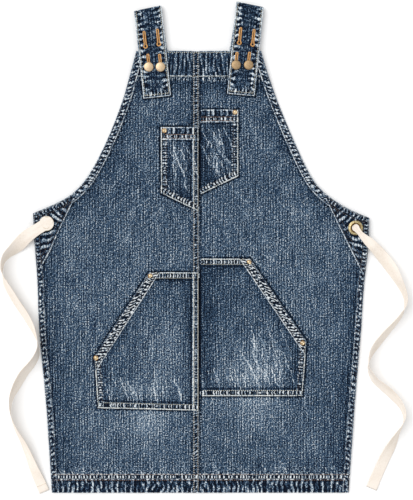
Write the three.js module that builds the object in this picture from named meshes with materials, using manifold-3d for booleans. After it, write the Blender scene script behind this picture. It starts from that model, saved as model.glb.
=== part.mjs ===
// Denim bib apron with crossed shoulder straps, laid on its back with its face up.
// Millimetres. +X is the apron's right as seen from above, +Y runs up towards the
// shoulders, +Z points away from the table. The origin is under the middle of the
// apron, on the table; the free ties are left out of that middle.
import * as THREE from 'three';
import { mergeVertices } from 'three/addons/utils/BufferGeometryUtils.js';
import Module from 'manifold-3d';

const wasm = await Module();
wasm.setup();

// ---- driving dimensions ----------------------------------------------------------
const GAP = 0.3;                 // air kept between pieces that lie on each other
const DENIM = 1.8;               // one panel layer as built here
const FOLDED = 3.0;              // hems, facings and bands: three layers
const PATCH = 1.5;               // corner patches and slant bands
const TAPE_WIDTH = 25;
const TAPE_THICK = 1.2;

const HALF_HEIGHT = 441.5;       // hem to strap folds is twice this
const BIB_TOP = 352.6;
const FACING_LINE = 305.6;       // lower edge of the bib facing
const HEM_TOP = -407;
const BINDING = 14;              // armhole binding width
const SIDE_HEM = 12;
const SEAM = [-15.8, -3.2];      // the felled centre seam, left and right edge

const STRAP_WIDTH = 50;
const STRAP_THICK = 1.8;
const UPPER = 5.4;               // the upper apron rests on the crossed straps
const RAMP = [-15, 10];          // between these Y values it comes down to the table

const POCKET_DEPTH = 4.8;        // free room inside a pocket
const POCKET_CLOTH = 1.5;
const POCKET_RIM = 6;

const HOLE_RADIUS = 6.9;         // grommet hole
const GROMMET_RADIUS = 13;
const BUTTON_RADIUS = 8.5;
const RIVET_RADIUS = 4.5;
const PIN_RADIUS = 1.3;

// left and right outline, from the bib's corner to the hem
const LEFT_ARMHOLE = [[-116.6, 352.6], [-126.5, 315.5], [-140.9, 265], [-175, 180],
  [-209.3, 119.3], [-236.3, 92.3], [-272.3, 73.4], [-302, 60.8]];
const LEFT_SIDE = [[-302, 60.8], [-299.3, 4], [-294.8, -59], [-291.2, -158],
  [-279.5, -275], [-268.7, -HALF_HEIGHT]];
const RIGHT_ARMHOLE = [[107.6, 352.6], [120.2, 310], [141.8, 250.7], [193, 135.5],
  [213.8, 104.9], [249.8, 77], [285.8, 59], [302, 52.7]];
const RIGHT_SIDE = [[302, 52.7], [300, -1.4], [292, -77], [287.6, -149],
  [276.8, -275], [265, -HALF_HEIGHT]];

const LEFT_GROMMET = [-277.5, 42];
const RIGHT_GROMMET = [276.8, 34.7];

// shoulder straps: the front tab's corners, bottom left, bottom right, top left, top right
const LEFT_TAB = [[-104, 266], [-53.6, 271.4], [-120.2, 424.4], [-72.5, 434.3]];
const RIGHT_TAB = [[45.5, 275], [96.8, 270.5], [63.5, HALF_HEIGHT], [113, 430.7]];
const BUTTONS = [[-94, 323], [-73, 323], [62.6, 326.5], [85, 326.5]];
const UPPER_HOLES = [[-100.4, 370], [-76.4, 374], [68.9, 376.5], [92.8, 373.5]];
const STRAP_LEAN = 6;            // degrees, each strap leans outwards
const LEG_HEADING = 5;           // degrees from straight down, where a back leg leaves the fold
const LEG_START = 260;           // how far each end of a back leg pulls its curve
const LEG_END = 160;
const LEG_STOP = [50, 12.5];     // a back leg ends this far back from and above its grommet
const LEG_FALL = 0.25;           // its fall there, per millimetre across

// tie routes: x, y, height of the lowest edge, tilt of the tape in degrees
// (0 and 180 lie flat, 90 stands on its edge)
const LEFT_TIE = [[-266, 50, 12.3, 180], [-278, 42, 12.3, 180], [-297, 30, 12.2, 180],
  [-306, 24, 11.6, 178], [-315, 17, 8, 172], [-326, 6, 3, 160], [-337, -4, 0.5, 138],
  [-348, -14, 0.1, 120], [-355, -26, 0.1, 102], [-357, -39, 0.1, 92], [-355, -52, 0.1, 78],
  [-350, -66, 0.1, 62], [-341, -82, 0.1, 56], [-330, -100, 0.1, 54], [-317, -119, 0.1, 54],
  [-305, -140, 0.1, 60], [-296, -161, 0.1, 76], [-292.5, -178, 0.1, 90], [-296, -196, 0.1, 110],
  [-305, -211, 0.1, 120], [-317, -225, 0.1, 124], [-326, -240, 0.1, 124], [-334, -256, 0.1, 116],
  [-340, -271, 0.1, 102], [-342, -288, 0.1, 90], [-340, -306, 0.1, 80], [-331, -329, 0.1, 70],
  [-321, -347, 0.1, 60], [-313, -365, 0.1, 48], [-306, -383, 0.1, 36], [-299, -401, 0.1, 24],
  [-291, -419, 0.1, 10], [-282, -440, 0.1, 0]];
const RIGHT_TIE = [[276.8, 34.7, 12.3, 0, 9], [283, 27, 12.4, 0, 9], [289, 20, 12.3, 2, 12],
  [302, 8, 11.6, 6, 22], [309, 1, 11, 8], [316, -6, 7, 14], [329, -21, 2, 24],
  [342, -39, 0.1, 38], [352, -57, 0.1, 56], [361, -75, 0.1, 70], [366, -90, 0.1, 80],
  [366, -104, 0.1, 90], [361, -117, 0.1, 106], [354, -128, 0.1, 112], [345, -139, 0.1, 116],
  [334, -151, 0.1, 121], [324, -163, 0.1, 124], [314, -176, 0.1, 124], [306, -189, 0.1, 116],
  [301, -203, 0.1, 102], [300, -214, 0.1, 90], [304, -226, 0.1, 76], [312, -239, 0.1, 66],
  [324, -249, 0.1, 58], [336, -259, 0.1, 56], [347, -270, 0.1, 58], [357, -282, 0.1, 68],
  [363, -295, 0.1, 79], [364, -306, 0.1, 90], [360, -320, 0.1, 104], [352, -334, 0.1, 116],
  [345, -349, 0.1, 136], [338, -363, 0.1, 152], [330, -379, 0.1, 163], [322, -397, 0.1, 171],
  [314, -415, 0.1, 176], [306, -434, 0.1, 180]];
const TIE_STEPS = 76;

// ---- materials ---------------------------------------------------------------------
const material = (color, roughness, metalness = 0) =>
  new THREE.MeshStandardMaterial({ color, roughness, metalness });
const denim = material(0x2f4560, 0.9);
const darkDenim = material(0x24364d, 0.9);
const paleDenim = material(0x4a6380, 0.9);
const thread = material(0xb9722c, 0.8);
const cotton = material(0xf0e6d2, 0.9);
const brass = material(0xc69a5e, 0.35, 1);

// ---- small helpers -----------------------------------------------------------------
const vec = (x, y, z) => new THREE.Vector3(x, y, z);

// height of the cloth's underside above the table at a given y
function lay(y) {
  const t = (y - RAMP[0]) / (RAMP[1] - RAMP[0]);
  return UPPER * Math.min(1, Math.max(0, t));
}

// merges a geometry into one closed body with its faces pointing out
function closed(geometry) {
  geometry.deleteAttribute('normal');
  geometry.deleteAttribute('uv');
  const merged = mergeVertices(geometry, 1e-4);
  const position = merged.getAttribute('position');
  const index = merged.getIndex();
  const corner = (i) => new THREE.Vector3().fromBufferAttribute(position, index.getX(i));
  const kept = [];
  let volume = 0;
  for (let i = 0; i < index.count; i += 3) {
    const [a, b, c] = [index.getX(i), index.getX(i + 1), index.getX(i + 2)];
    if (a === b || b === c || a === c) continue;
    kept.push([a, b, c]);
    volume += corner(i).dot(corner(i + 1).cross(corner(i + 2)));
  }
  const turned = volume < 0 ? kept.map(([a, b, c]) => [a, c, b]) : kept;
  merged.setIndex(turned.flat());
  return merged;
}

function toManifold(geometry) {
  const solid = closed(geometry);
  return new wasm.Manifold(new wasm.Mesh({
    numProp: 3,
    vertProperties: new Float32Array(solid.getAttribute('position').array),
    triVerts: new Uint32Array(solid.getIndex().array),
  }));
}

function toGeometry(manifold) {
  const mesh = manifold.getMesh();
  const geometry = new THREE.BufferGeometry();
  geometry.setAttribute('position', new THREE.BufferAttribute(mesh.vertProperties, 3));
  geometry.setIndex(Array.from(mesh.triVerts));
  return geometry;
}

// a closed strip through rows of four corners each, with flat ends
function slab(rows) {
  const points = rows.flat();
  const index = [];
  const quad = (a, b, c, d) => index.push(a, b, c, a, c, d);
  for (let r = 0; r + 1 < rows.length; r++) {
    for (let k = 0; k < 4; k++) {
      const next = (k + 1) % 4;
      quad(4 * r + k, 4 * r + next, 4 * r + 4 + next, 4 * r + 4 + k);
    }
  }
  const last = 4 * (rows.length - 1);
  quad(3, 2, 1, 0);
  quad(last, last + 1, last + 2, last + 3);
  const geometry = new THREE.BufferGeometry().setFromPoints(points);
  geometry.setIndex(index);
  return closed(geometry);
}

// one row of a cloth strip lying on the apron: left and right end, heights above the lay
function layRow(left, right, bottom, top) {
  return [vec(left[0], left[1], lay(left[1]) + bottom), vec(right[0], right[1], lay(right[1]) + bottom),
    vec(right[0], right[1], lay(right[1]) + top), vec(left[0], left[1], lay(left[1]) + top)];
}

// a smooth line through a few outline points
function smooth(points, steps) {
  const curve = new THREE.CatmullRomCurve3(points.map(([x, y]) => vec(x, y, 0)), false, 'centripetal');
  return curve.getPoints(steps).map((p) => [p.x, p.y]);
}

// the same line moved sideways; a positive distance moves it to the left of its travel
function offset(line, distance) {
  return line.map(([x, y], i) => {
    const [x0, y0] = line[Math.max(0, i - 1)];
    const [x1, y1] = line[Math.min(line.length - 1, i + 1)];
    const length = Math.hypot(x1 - x0, y1 - y0);
    return [x - (distance * (y1 - y0)) / length, y + (distance * (x1 - x0)) / length];
  });
}

// x of a falling line at a given y, held at its ends
function xAt(line, y) {
  if (y >= line[0][1]) return line[0][0];
  for (let i = 0; i + 1 < line.length; i++) {
    const [[x0, y0], [x1, y1]] = [line[i], line[i + 1]];
    if (y <= y0 && y >= y1) return x0 + ((x1 - x0) * (y0 - y)) / (y0 - y1);
  }
  return line[line.length - 1][0];
}

// horizontal rows between two edge functions, broken where the lay bends
function rowsBetween(leftAt, rightAt, levels, bottom, top) {
  const low = Math.min(...levels);
  const high = Math.max(...levels);
  const bends = RAMP.filter((y) => y > low && y < high);
  const ys = [...new Set([...levels, ...bends])].sort((a, b) => b - a);
  return slab(ys.map((y) => layRow([leftAt(y), y], [rightAt(y), y], bottom, top)));
}

// a cloth piece from a closed outline that every level line crosses once
function plate(outline, bottom, top) {
  const crossings = (y) => outline.flatMap(([x0, y0], i) => {
    const [x1, y1] = outline[(i + 1) % outline.length];
    if (y < Math.min(y0, y1) - 1e-9 || y > Math.max(y0, y1) + 1e-9) return [];
    return Math.abs(y1 - y0) < 1e-9 ? [x0, x1] : [x0 + ((x1 - x0) * (y - y0)) / (y1 - y0)];
  });
  const levels = outline.map(([, y]) => y);
  return rowsBetween((y) => Math.min(...crossings(y)), (y) => Math.max(...crossings(y)),
    levels, bottom, top);
}

// cuts round upright holes through a piece
function pierced(geometry, holes) {
  let solid = toManifold(geometry);
  for (const [x, y, radius] of holes) {
    const drill = new THREE.CylinderGeometry(radius, radius, 80, 24).rotateX(Math.PI / 2);
    solid = solid.subtract(toManifold(drill.translate(x, y, 0)));
  }
  return toGeometry(solid);
}

// a turned piece standing at x, y from a half profile of radius and height
function turned(profile, x, y, segments) {
  const points = profile.map(([r, z]) => new THREE.Vector2(r, z));
  return closed(new THREE.LatheGeometry(points, segments).rotateX(Math.PI / 2).translate(x, y, 0));
}

const apron = new THREE.Group();
function add(name, geometry, finish) {
  const faceted = geometry.index ? geometry.toNonIndexed() : geometry;
  faceted.computeVertexNormals();
  const mesh = new THREE.Mesh(faceted, finish);
  mesh.name = name;
  apron.add(mesh);
}

// ---- outline, hems and bindings ------------------------------------------------------
const sides = { left: {}, right: {} };
sides.left.armhole = smooth(LEFT_ARMHOLE, 28);
sides.right.armhole = smooth(RIGHT_ARMHOLE, 28);
sides.left.side = smooth(LEFT_SIDE, 12);
sides.right.side = smooth(RIGHT_SIDE, 12);
const SIGN = { left: 1, right: -1 };   // inwards is +X on the left and -X on the right

for (const [name, side] of Object.entries(sides)) {
  const inwards = SIGN[name];
  const hemInner = side.side.map(([x, y]) => [x + inwards * SIDE_HEM, y]);
  const corner = side.armhole[side.armhole.length - 1];
  const meeting = [corner[0] + inwards * SIDE_HEM, corner[1] - 0.84 * SIDE_HEM];
  const bindInner = offset(side.armhole, inwards * BINDING).map((p, i) =>
    (i === side.armhole.length - 1 || Math.abs(p[0]) > Math.abs(meeting[0]) - 1 ? meeting : p));
  bindInner[0] = [bindInner[0][0], BIB_TOP];
  side.inner = [...bindInner.filter(([, y]) => y > meeting[1] + 1), meeting,
    ...hemInner.filter(([, y]) => y < meeting[1] - 1)];

  const bindRows = side.armhole.map((p, i) => layRow(p, bindInner[i], 0, FOLDED));
  add(`${name}_armhole_binding`, slab(bindRows), darkDenim);

  const top = layRow([corner[0], corner[1] - GAP], [meeting[0], meeting[1] - GAP], 0, FOLDED);
  const inside = (y) => y < meeting[1] - 1 && y > HEM_TOP + GAP;
  const levels = [...RAMP, ...hemInner.map(([, y]) => y).filter(inside), HEM_TOP + GAP];
  const hemRows = levels.sort((a, b) => b - a).map((y) => {
    const x = xAt(side.side, y);
    return layRow([x, y], [x + inwards * SIDE_HEM, y], 0, FOLDED);
  });
  add(`${name}_side_hem`, slab([top, ...hemRows]), darkDenim);
}

const outlineX = (side, y) => (y > side.side[0][1] ? xAt(side.armhole, y) : xAt(side.side, y));
const hemLevels = [HEM_TOP, -HALF_HEIGHT];
add('bottom_hem', rowsBetween((y) => outlineX(sides.left, y), (y) => outlineX(sides.right, y),
  hemLevels, 0, FOLDED), darkDenim);
add('centre_seam', rowsBetween(() => SEAM[0], () => SEAM[1],
  [BIB_TOP, HEM_TOP + GAP], 0, FOLDED), paleDenim);

// ---- panels, bib facings and corner patches ------------------------------------------
const seamEdge = { left: SEAM[0] - GAP, right: SEAM[1] + GAP };
const grommetAt = { left: LEFT_GROMMET, right: RIGHT_GROMMET };
const patchEdge = {
  left: [[-227, 85], [-254, 31], [-272, -8.6], [-289, -38]],
  right: [[223, 83], [250, 31], [268, -5], [291, -50]],
};
const panelLevels = (side, from, to) =>
  [from, ...side.inner.map(([, y]) => y).filter((y) => y < from - 1 && y > to + 1), to];

function between(name, from, to, bottom, top) {
  const side = sides[name];
  const innerX = (y) => xAt(side.inner, y) + SIGN[name] * GAP;
  const middle = () => seamEdge[name];
  const [leftAt, rightAt] = name === 'left' ? [innerX, middle] : [middle, innerX];
  return rowsBetween(leftAt, rightAt, panelLevels(side, from, to), bottom, top);
}

const rivetSpots = {
  left_chest_pocket: [[-66, 209]],
  right_chest_pocket: [[60.8, 242]],
  left_hand_pocket: [[-91.4, -51.8], [-189, -199]],
  right_hand_pocket: [[86, -27], [182, -172]],
};
const clearance = PIN_RADIUS + GAP;
const rivetHoles = (name) => ['chest', 'hand'].flatMap((kind) =>
  rivetSpots[`${name}_${kind}_pocket`].map(([x, y]) => [x, y, clearance]));

for (const name of ['left', 'right']) {
  const [gx, gy] = grommetAt[name];
  const holes = [[gx, gy, HOLE_RADIUS + 1], ...rivetHoles(name)];
  add(`${name}_panel`, pierced(between(name, FACING_LINE - GAP, HEM_TOP + GAP, 0, DENIM), holes), denim);

  const tackHoles = BUTTONS.filter(([x]) => (x < 0) === (name === 'left'))
    .map(([x, y]) => [x, y, clearance]);
  add(`${name}_bib_facing`, pierced(between(name, BIB_TOP, FACING_LINE, 0, FOLDED), tackHoles), darkDenim);

  const edge = patchEdge[name];
  const side = sides[name];
  const meetY = edge[0][1] + 4;
  const levels = [meetY, ...edge.slice(0, -1).map(([, y]) => y), side.side[0][1], edge[3][1]];
  const outerX = (y) => outlineX(side, y);
  const innerX = (y) => xAt(edge, y);
  const [leftAt, rightAt] = name === 'left' ? [outerX, innerX] : [innerX, outerX];
  const patch = rowsBetween(leftAt, rightAt, levels, FOLDED + GAP, FOLDED + GAP + PATCH);
  add(`${name}_corner_patch`, pierced(patch, [[gx, gy, HOLE_RADIUS + 1]]), darkDenim);
}

// ---- grommets ------------------------------------------------------------------------
const patchTop = UPPER + FOLDED + GAP + PATCH;
for (const name of ['left', 'right']) {
  const [x, y] = grommetAt[name];
  const barrel = HOLE_RADIUS + 0.6;
  const ring = [[HOLE_RADIUS, UPPER - 1.2], [barrel, UPPER - 1.2], [barrel, patchTop + GAP],
    [GROMMET_RADIUS, patchTop + GAP], [GROMMET_RADIUS - 0.6, patchTop + 1.1],
    [HOLE_RADIUS + 1.6, patchTop + 1.5], [HOLE_RADIUS, patchTop + 0.9], [HOLE_RADIUS, UPPER - 1.2]];
  add(`${name}_grommet`, turned(ring, x, y, 32), brass);
  const washer = [[barrel + GAP, UPPER - 1.2], [GROMMET_RADIUS - 0.5, UPPER - 1.2],
    [GROMMET_RADIUS - 0.5, UPPER - GAP], [barrel + GAP, UPPER - GAP], [barrel + GAP, UPPER - 1.2]];
  add(`${name}_grommet_washer`, turned(washer, x, y, 32), brass);
}

// ---- pockets: a front cloth on a low rim, open where the hand or the tool goes in --------
const rimFoot = DENIM + GAP;
const roomTop = rimFoot + POCKET_DEPTH;
const pocketTop = roomTop + POCKET_CLOTH;
const seamRoof = [[SEAM[0] - GAP, 400], [SEAM[1] + GAP, 400], [SEAM[1] + GAP, -400], [SEAM[0] - GAP, -400]];

function pocket(name, outline, room) {
  const block = toManifold(plate(outline, rimFoot, pocketTop));
  const hollow = toManifold(plate(room, rimFoot - 1, roomTop));
  const overSeam = toManifold(plate(seamRoof, 0, FOLDED + GAP));
  const holes = rivetSpots[name].map(([x, y]) => [x, y, clearance]);
  add(name, pierced(toGeometry(block.subtract(hollow).subtract(overSeam)), holes), denim);
}

const [seamLeft, seamRight] = SEAM;
pocket('left_chest_pocket',
  [[-72.5, 215.6], [seamRight, 215.6], [seamRight, 63.5], [-72.5, 96.8]],
  [[-64, 225], [seamLeft - GAP, 225], [seamLeft - GAP, 76], [-64, 101]]);
pocket('right_chest_pocket',
  [[-2.3, 247], [66.7, 247], [66.7, 127.4], [-2.3, 94]],
  [[-2.3 + POCKET_RIM, 256], [60.7, 256], [60.7, 131], [-2.3 + POCKET_RIM, 104]]);
pocket('left_hand_pocket',
  [[-94, -45], [seamRight, -45], [seamRight, -293.9], [-185.9, -289.4], [-192.2, -196.7]],
  [[-98, -51], [seamLeft - GAP, -51], [seamLeft - GAP, -287.6], [-180, -283.5], [-186, -205],
    [-199, -186], [-109, -46.5]]);
pocket('right_hand_pocket',
  [[-2.3, -20.3], [88.3, -20.3], [189.5, -168.8], [182.3, -267.8], [-2.3, -267.8]],
  [[-2.3 + POCKET_RIM, -26.3], [92, -26.3], [103, -19], [196, -156], [183.5, -177],
    [176.5, -261.8], [-2.3 + POCKET_RIM, -261.8]]);

// slant bands along the two hand openings, each ending in a tip on the pocket's side
const bandFoot = pocketTop + GAP;
const bandTop = bandFoot + PATCH;
const bands = {
  left: [[-94, -45], [-74, -45], [-186.5, -219], [-190.4, -224], [-192.2, -196.7]],
  right: [[88.3, -20.3], [67.7, -20.3], [183.6, -190], [187.7, -195], [189.5, -168.8]],
};
for (const name of ['left', 'right']) {
  const holes = rivetSpots[`${name}_hand_pocket`].map(([x, y]) => [x, y, clearance]);
  add(`${name}_slant_band`, pierced(plate(bands[name], bandFoot, bandTop), holes), paleDenim);
}

// ---- rivets --------------------------------------------------------------------------
function rivet(name, [x, y], under) {
  const base = lay(y);
  const cap = base + under + GAP;
  add(name, turned([[0, base + GAP], [PIN_RADIUS, base + GAP], [PIN_RADIUS, cap], [RIVET_RADIUS, cap],
    [RIVET_RADIUS, cap + 0.6], [RIVET_RADIUS - 1.2, cap + 1.2], [0, cap + 1.4]], x, y, 16), brass);
}
for (const name of ['left', 'right']) {
  rivet(`${name}_chest_pocket_rivet`, rivetSpots[`${name}_chest_pocket`][0], pocketTop);
  rivet(`${name}_hand_pocket_top_rivet`, rivetSpots[`${name}_hand_pocket`][0], bandTop);
  rivet(`${name}_hand_pocket_side_rivet`, rivetSpots[`${name}_hand_pocket`][1], bandTop);
}

// ---- shoulder straps: front tab, fold at the top, back leg under the apron ------------------
const tabFoot = UPPER + FOLDED + GAP;
const tabTop = tabFoot + STRAP_THICK;

function row(centre, across, normal, width, thick) {
  const corner = (s, t) => centre.clone().addScaledVector(across, (s * width) / 2)
    .addScaledVector(normal, (t * thick) / 2);
  return [corner(-1, -1), corner(1, -1), corner(1, 1), corner(-1, 1)];
}

// an outline with a round eye at its foot and a narrow slot above, along +Y
function keyhole(halfSlot, eye, top) {
  const meet = Math.asin(halfSlot / eye);
  const shape = new THREE.Shape();
  shape.absarc(0, 0, eye, Math.PI / 2 + meet, Math.PI / 2 - meet + 2 * Math.PI, false);
  shape.absarc(0, top - halfSlot, halfSlot, 0, Math.PI, false);
  return shape;
}
const EYE = 2.9;
const SLOT = 0.8;
const STITCH = 1.6;              // width of the sewn edge around a buttonhole
const HOLE_SIZES = { upper: 26, lower: 22 };

function keyholeSolid(halfSlot, eye, top, depth, place) {
  const shape = keyhole(halfSlot, eye, top);
  return new THREE.ExtrudeGeometry(shape, { depth, bevelEnabled: false, curveSegments: 10 })
    .applyMatrix4(place);
}

function strap(name, tab, lean, backLevel, target) {
  const [bl, br, tl, tr] = tab;
  const foldEdge = vec(tr[0] - tl[0], tr[1] - tl[1], 0);
  const across = foldEdge.clone().normalize();
  const outwards = vec(-across.y, across.x, 0);
  const front = tabFoot + STRAP_THICK / 2;
  const radius = (front - backLevel) / 2;
  const reach = radius + STRAP_THICK / 2;
  const up = vec(0, 0, 1);
  const foldMiddle = vec((tl[0] + tr[0]) / 2, (tl[1] + tr[1]) / 2, 0).addScaledVector(outwards, -reach);
  const foot = vec((bl[0] + br[0]) / 2, (bl[1] + br[1]) / 2, front);
  const footAcross = vec(br[0] - bl[0], br[1] - bl[1], 0);
  const rows = [row(foot, footAcross.clone().normalize(), up, footAcross.length(), STRAP_THICK)];
  const ARC = 8;
  for (let i = 0; i <= ARC; i++) {
    const turn = (Math.PI * i) / ARC;
    const normal = outwards.clone().multiplyScalar(Math.sin(turn)).addScaledVector(up, Math.cos(turn));
    const centre = foldMiddle.clone().setZ(backLevel + radius).addScaledVector(normal, radius);
    rows.push(row(centre, across, normal, foldEdge.length(), STRAP_THICK));
  }
  const heading = THREE.MathUtils.degToRad(LEG_HEADING) * Math.sign(lean);
  const start = foldMiddle.clone().setZ(backLevel);
  const end = vec(target[0] - LEG_STOP[0] * Math.sign(lean), target[1] + LEG_STOP[1], backLevel);
  const arrive = vec(Math.sign(lean), -LEG_FALL, 0).normalize();
  const away = vec(Math.sin(heading), -Math.cos(heading), 0);
  const leg = new THREE.CubicBezierCurve3(start, start.clone().addScaledVector(away, LEG_START),
    end.clone().addScaledVector(arrive, -LEG_END), end);
  const LEG_STEPS = 26;
  for (let i = 1; i <= LEG_STEPS; i++) {
    const t = i / LEG_STEPS;
    const tangent = leg.getTangent(t);
    const square = vec(-tangent.y, tangent.x, 0);
    const blend = across.clone().multiplyScalar(Math.max(0, 1 - 5 * t));
    const side = blend.addScaledVector(square, Math.min(1, 5 * t)).normalize();
    rows.push(row(leg.getPoint(t), side, up.clone().negate(), STRAP_WIDTH, STRAP_THICK));
  }
  const turnLean = new THREE.Matrix4().makeRotationZ(THREE.MathUtils.degToRad(lean));
  const at = (x, y, z) => new THREE.Matrix4().makeTranslation(x, y, z).multiply(turnLean);
  const mine = (list) => list.filter(([x]) => (x < 0) === (lean > 0));
  const spots = [
    ...mine(UPPER_HOLES).map(([x, y], i) => ({ x, y: y - 10, kind: 'upper', i })),
    ...mine(BUTTONS).map(([x, y], i) => ({ x, y, kind: 'lower', i })),
  ];
  let solid = toManifold(slab(rows));
  for (const { x, y, kind, i } of spots) {
    const cutter = keyholeSolid(SLOT, EYE, HOLE_SIZES[kind] - STITCH, 4, at(x, y, tabFoot - 1));
    solid = solid.subtract(toManifold(cutter));
    const edge = toManifold(keyholeSolid(SLOT + STITCH, EYE + STITCH, HOLE_SIZES[kind], 0.8,
      at(x, y, tabTop + GAP)));
    const inside = toManifold(keyholeSolid(SLOT, EYE, HOLE_SIZES[kind] - STITCH, 4, at(x, y, tabTop)));
    add(`${name}_${kind}_buttonhole_${i + 1}`, toGeometry(edge.subtract(inside)), thread);
  }
  add(name, toGeometry(solid), darkDenim);

  // the cotton tape sewn to the strap's end, gathered and brought up through the grommet
  const hole = vec(target[0], target[1], 0);
  const approach = hole.clone().sub(vec(end.x, end.y, 0));
  const travel = approach.clone().normalize();
  const wide = vec(-travel.y, travel.x, 0);
  const stations = [[approach.length() - 1, 0, 22, TAPE_THICK], [28, 0, 20, TAPE_THICK],
    [12, 0, 11, STRAP_THICK], [6, 0, 8, STRAP_THICK], [3.4, 0.8, 7.5, 2], [1, 3, 7.5, 2.4],
    [0, 11.9 - backLevel, 7.5, 2.6]];
  const line = stations.map(([back, rise]) =>
    hole.clone().addScaledVector(travel, -back).setZ(backLevel + rise));
  const path = new THREE.CatmullRomCurve3(line);
  const tapeRows = line.map((p, i) => {
    const tangent = path.getTangent(i / (line.length - 1));
    if (i === line.length - 1) tangent.set(0, 0, 1);
    if (i < 3) tangent.copy(travel);
    const normal = new THREE.Vector3().crossVectors(tangent, wide).normalize();
    return row(p, wide, normal, stations[i][2], stations[i][3]);
  });
  return slab(tapeRows);
}
const underA = STRAP_THICK / 2;
const underB = underA + STRAP_THICK + GAP;
add('right_waist_tape', strap('left_strap', LEFT_TAB, STRAP_LEAN, underA, RIGHT_GROMMET), cotton);
add('left_waist_tape', strap('right_strap', RIGHT_TAB, -STRAP_LEAN, underB, LEFT_GROMMET), cotton);

// ---- jeans buttons on their tacks ------------------------------------------------------------
const facingTop = UPPER + FOLDED;
const capFoot = tabTop + GAP + 0.8 + GAP;
BUTTONS.forEach(([x, y], i) => {
  const foot = facingTop + GAP;
  add(`button_${i + 1}`, turned([[0, foot + 2.6], [PIN_RADIUS + GAP, foot + 2.6], [PIN_RADIUS + GAP, foot],
    [2.5, foot], [2.5, capFoot], [BUTTON_RADIUS - 1, capFoot], [BUTTON_RADIUS, capFoot + 0.8],
    [BUTTON_RADIUS - 0.3, capFoot + 1.7], [BUTTON_RADIUS - 1.8, capFoot + 2.1],
    [0, capFoot + 2.5]], x, y, 24), brass);
  add(`button_tack_${i + 1}`, turned([[0, UPPER - 1.2], [4.5, UPPER - 1.2], [4.5, UPPER - GAP],
    [PIN_RADIUS, UPPER - GAP], [PIN_RADIUS, foot + 2.3], [0, foot + 2.3]], x, y, 16), brass);
});

// ---- waist ties: flat cotton tape, loose on the table ---------------------------------------
function tie(name, route) {
  const line = new THREE.CatmullRomCurve3(route.map(([x, y]) => vec(x, y, 0)), false, 'centripetal');
  const lift = new THREE.CatmullRomCurve3(route.map(([, , low, tilt, width = TAPE_WIDTH]) =>
    vec(low, tilt, width)), false, 'catmullrom');
  const rows = [];
  for (let i = 0; i <= TIE_STEPS; i++) {
    const t = i / TIE_STEPS;
    const point = line.getPoint(t);
    const tangent = line.getTangent(t);
    const { x: low, y: tilt, z: width } = lift.getPoint(t);
    const angle = THREE.MathUtils.degToRad(tilt);
    const level = vec(-tangent.y, tangent.x, 0).normalize();
    const across = level.clone().multiplyScalar(Math.cos(angle)).setZ(Math.sin(angle));
    const normal = level.multiplyScalar(-Math.sin(angle)).setZ(Math.cos(angle));
    const half = (width * Math.abs(Math.sin(angle)) + TAPE_THICK * Math.abs(Math.cos(angle))) / 2;
    point.setZ(Math.max(0.1, low) + half);
    rows.push(row(point, across, normal, width, TAPE_THICK));
  }
  add(name, slab(rows), cotton);
}
tie('left_tie', LEFT_TIE);
tie('right_tie', RIGHT_TIE);

export default apron;
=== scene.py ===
"""A washed denim bib apron with crossed straps, lying face up on a pale table.

Lengths are in millimetres until a mesh is made, and the apron's places come from the frame.
"""
import math

import bpy
import numpy as np
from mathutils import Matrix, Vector
from mathutils.bvhtree import BVHTree


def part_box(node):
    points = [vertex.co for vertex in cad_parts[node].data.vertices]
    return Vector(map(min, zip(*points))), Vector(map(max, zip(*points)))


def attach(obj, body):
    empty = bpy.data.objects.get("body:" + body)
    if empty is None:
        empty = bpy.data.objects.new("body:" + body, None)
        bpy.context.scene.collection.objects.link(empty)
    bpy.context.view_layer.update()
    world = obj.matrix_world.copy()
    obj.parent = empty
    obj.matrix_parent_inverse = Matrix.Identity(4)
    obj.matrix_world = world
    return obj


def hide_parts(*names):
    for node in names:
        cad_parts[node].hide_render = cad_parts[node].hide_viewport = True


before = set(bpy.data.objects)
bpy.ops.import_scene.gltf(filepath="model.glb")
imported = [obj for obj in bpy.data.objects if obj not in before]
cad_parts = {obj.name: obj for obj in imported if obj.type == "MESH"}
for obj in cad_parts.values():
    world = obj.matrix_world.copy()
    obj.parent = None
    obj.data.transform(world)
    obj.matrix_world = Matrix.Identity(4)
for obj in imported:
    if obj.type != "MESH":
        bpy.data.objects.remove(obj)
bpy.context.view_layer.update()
MM = 0.001
TURN = 2 * math.pi
UP = np.array([0, 0, 1.0])
SIGN = {"left": -1, "right": 1}
OTHER = {"left": "right", "right": "left"}

# ---- driving dimensions (mm) ----
CLOTH = 1.2                # one layer of denim
BAND = 2.6                 # folded hem, binding, facing or seam
BINDING = 14.0
SIDE_HEM = 12.0
STRAP = 1.8
STRAP_WIDTH = 50.0
STRAP_AIR = 0.7            # between the bib and the strap tabs that lie on it
TAPE = 1.1
TAPE_WIDTH = 25.0
THREAD = 0.9               # topstitching thread
STITCH = 3.6               # from one stitch to the next
ROPE_PITCH = 4.2           # from one roped pucker to the next beside a seam
WARP_PITCH = 4.8           # between the uneven warp's darker threads
UPPER = 5.4                # the bib rests this high on the crossed straps
SINK = (28, 105)           # and sinks between these distances from a strap's middle
BUTTON_RADIUS = 8.5
RIVET_RADIUS = 4.5
PIN_RADIUS = 1.3
GROMMET_RADIUS = 13.0
HOLE_RADIUS = 6.9
EYE_RADIUS = 2.9           # a buttonhole's round end
BAR = 1.6                  # half a buttonhole's stitches stand this far out
HOLE_SIZES = {"upper": 26, "lower": 22}
LIP = 0.6                  # a rounded edge starts this far in
FAR = 9.0                  # widths away from a mark where it no longer shows

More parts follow.
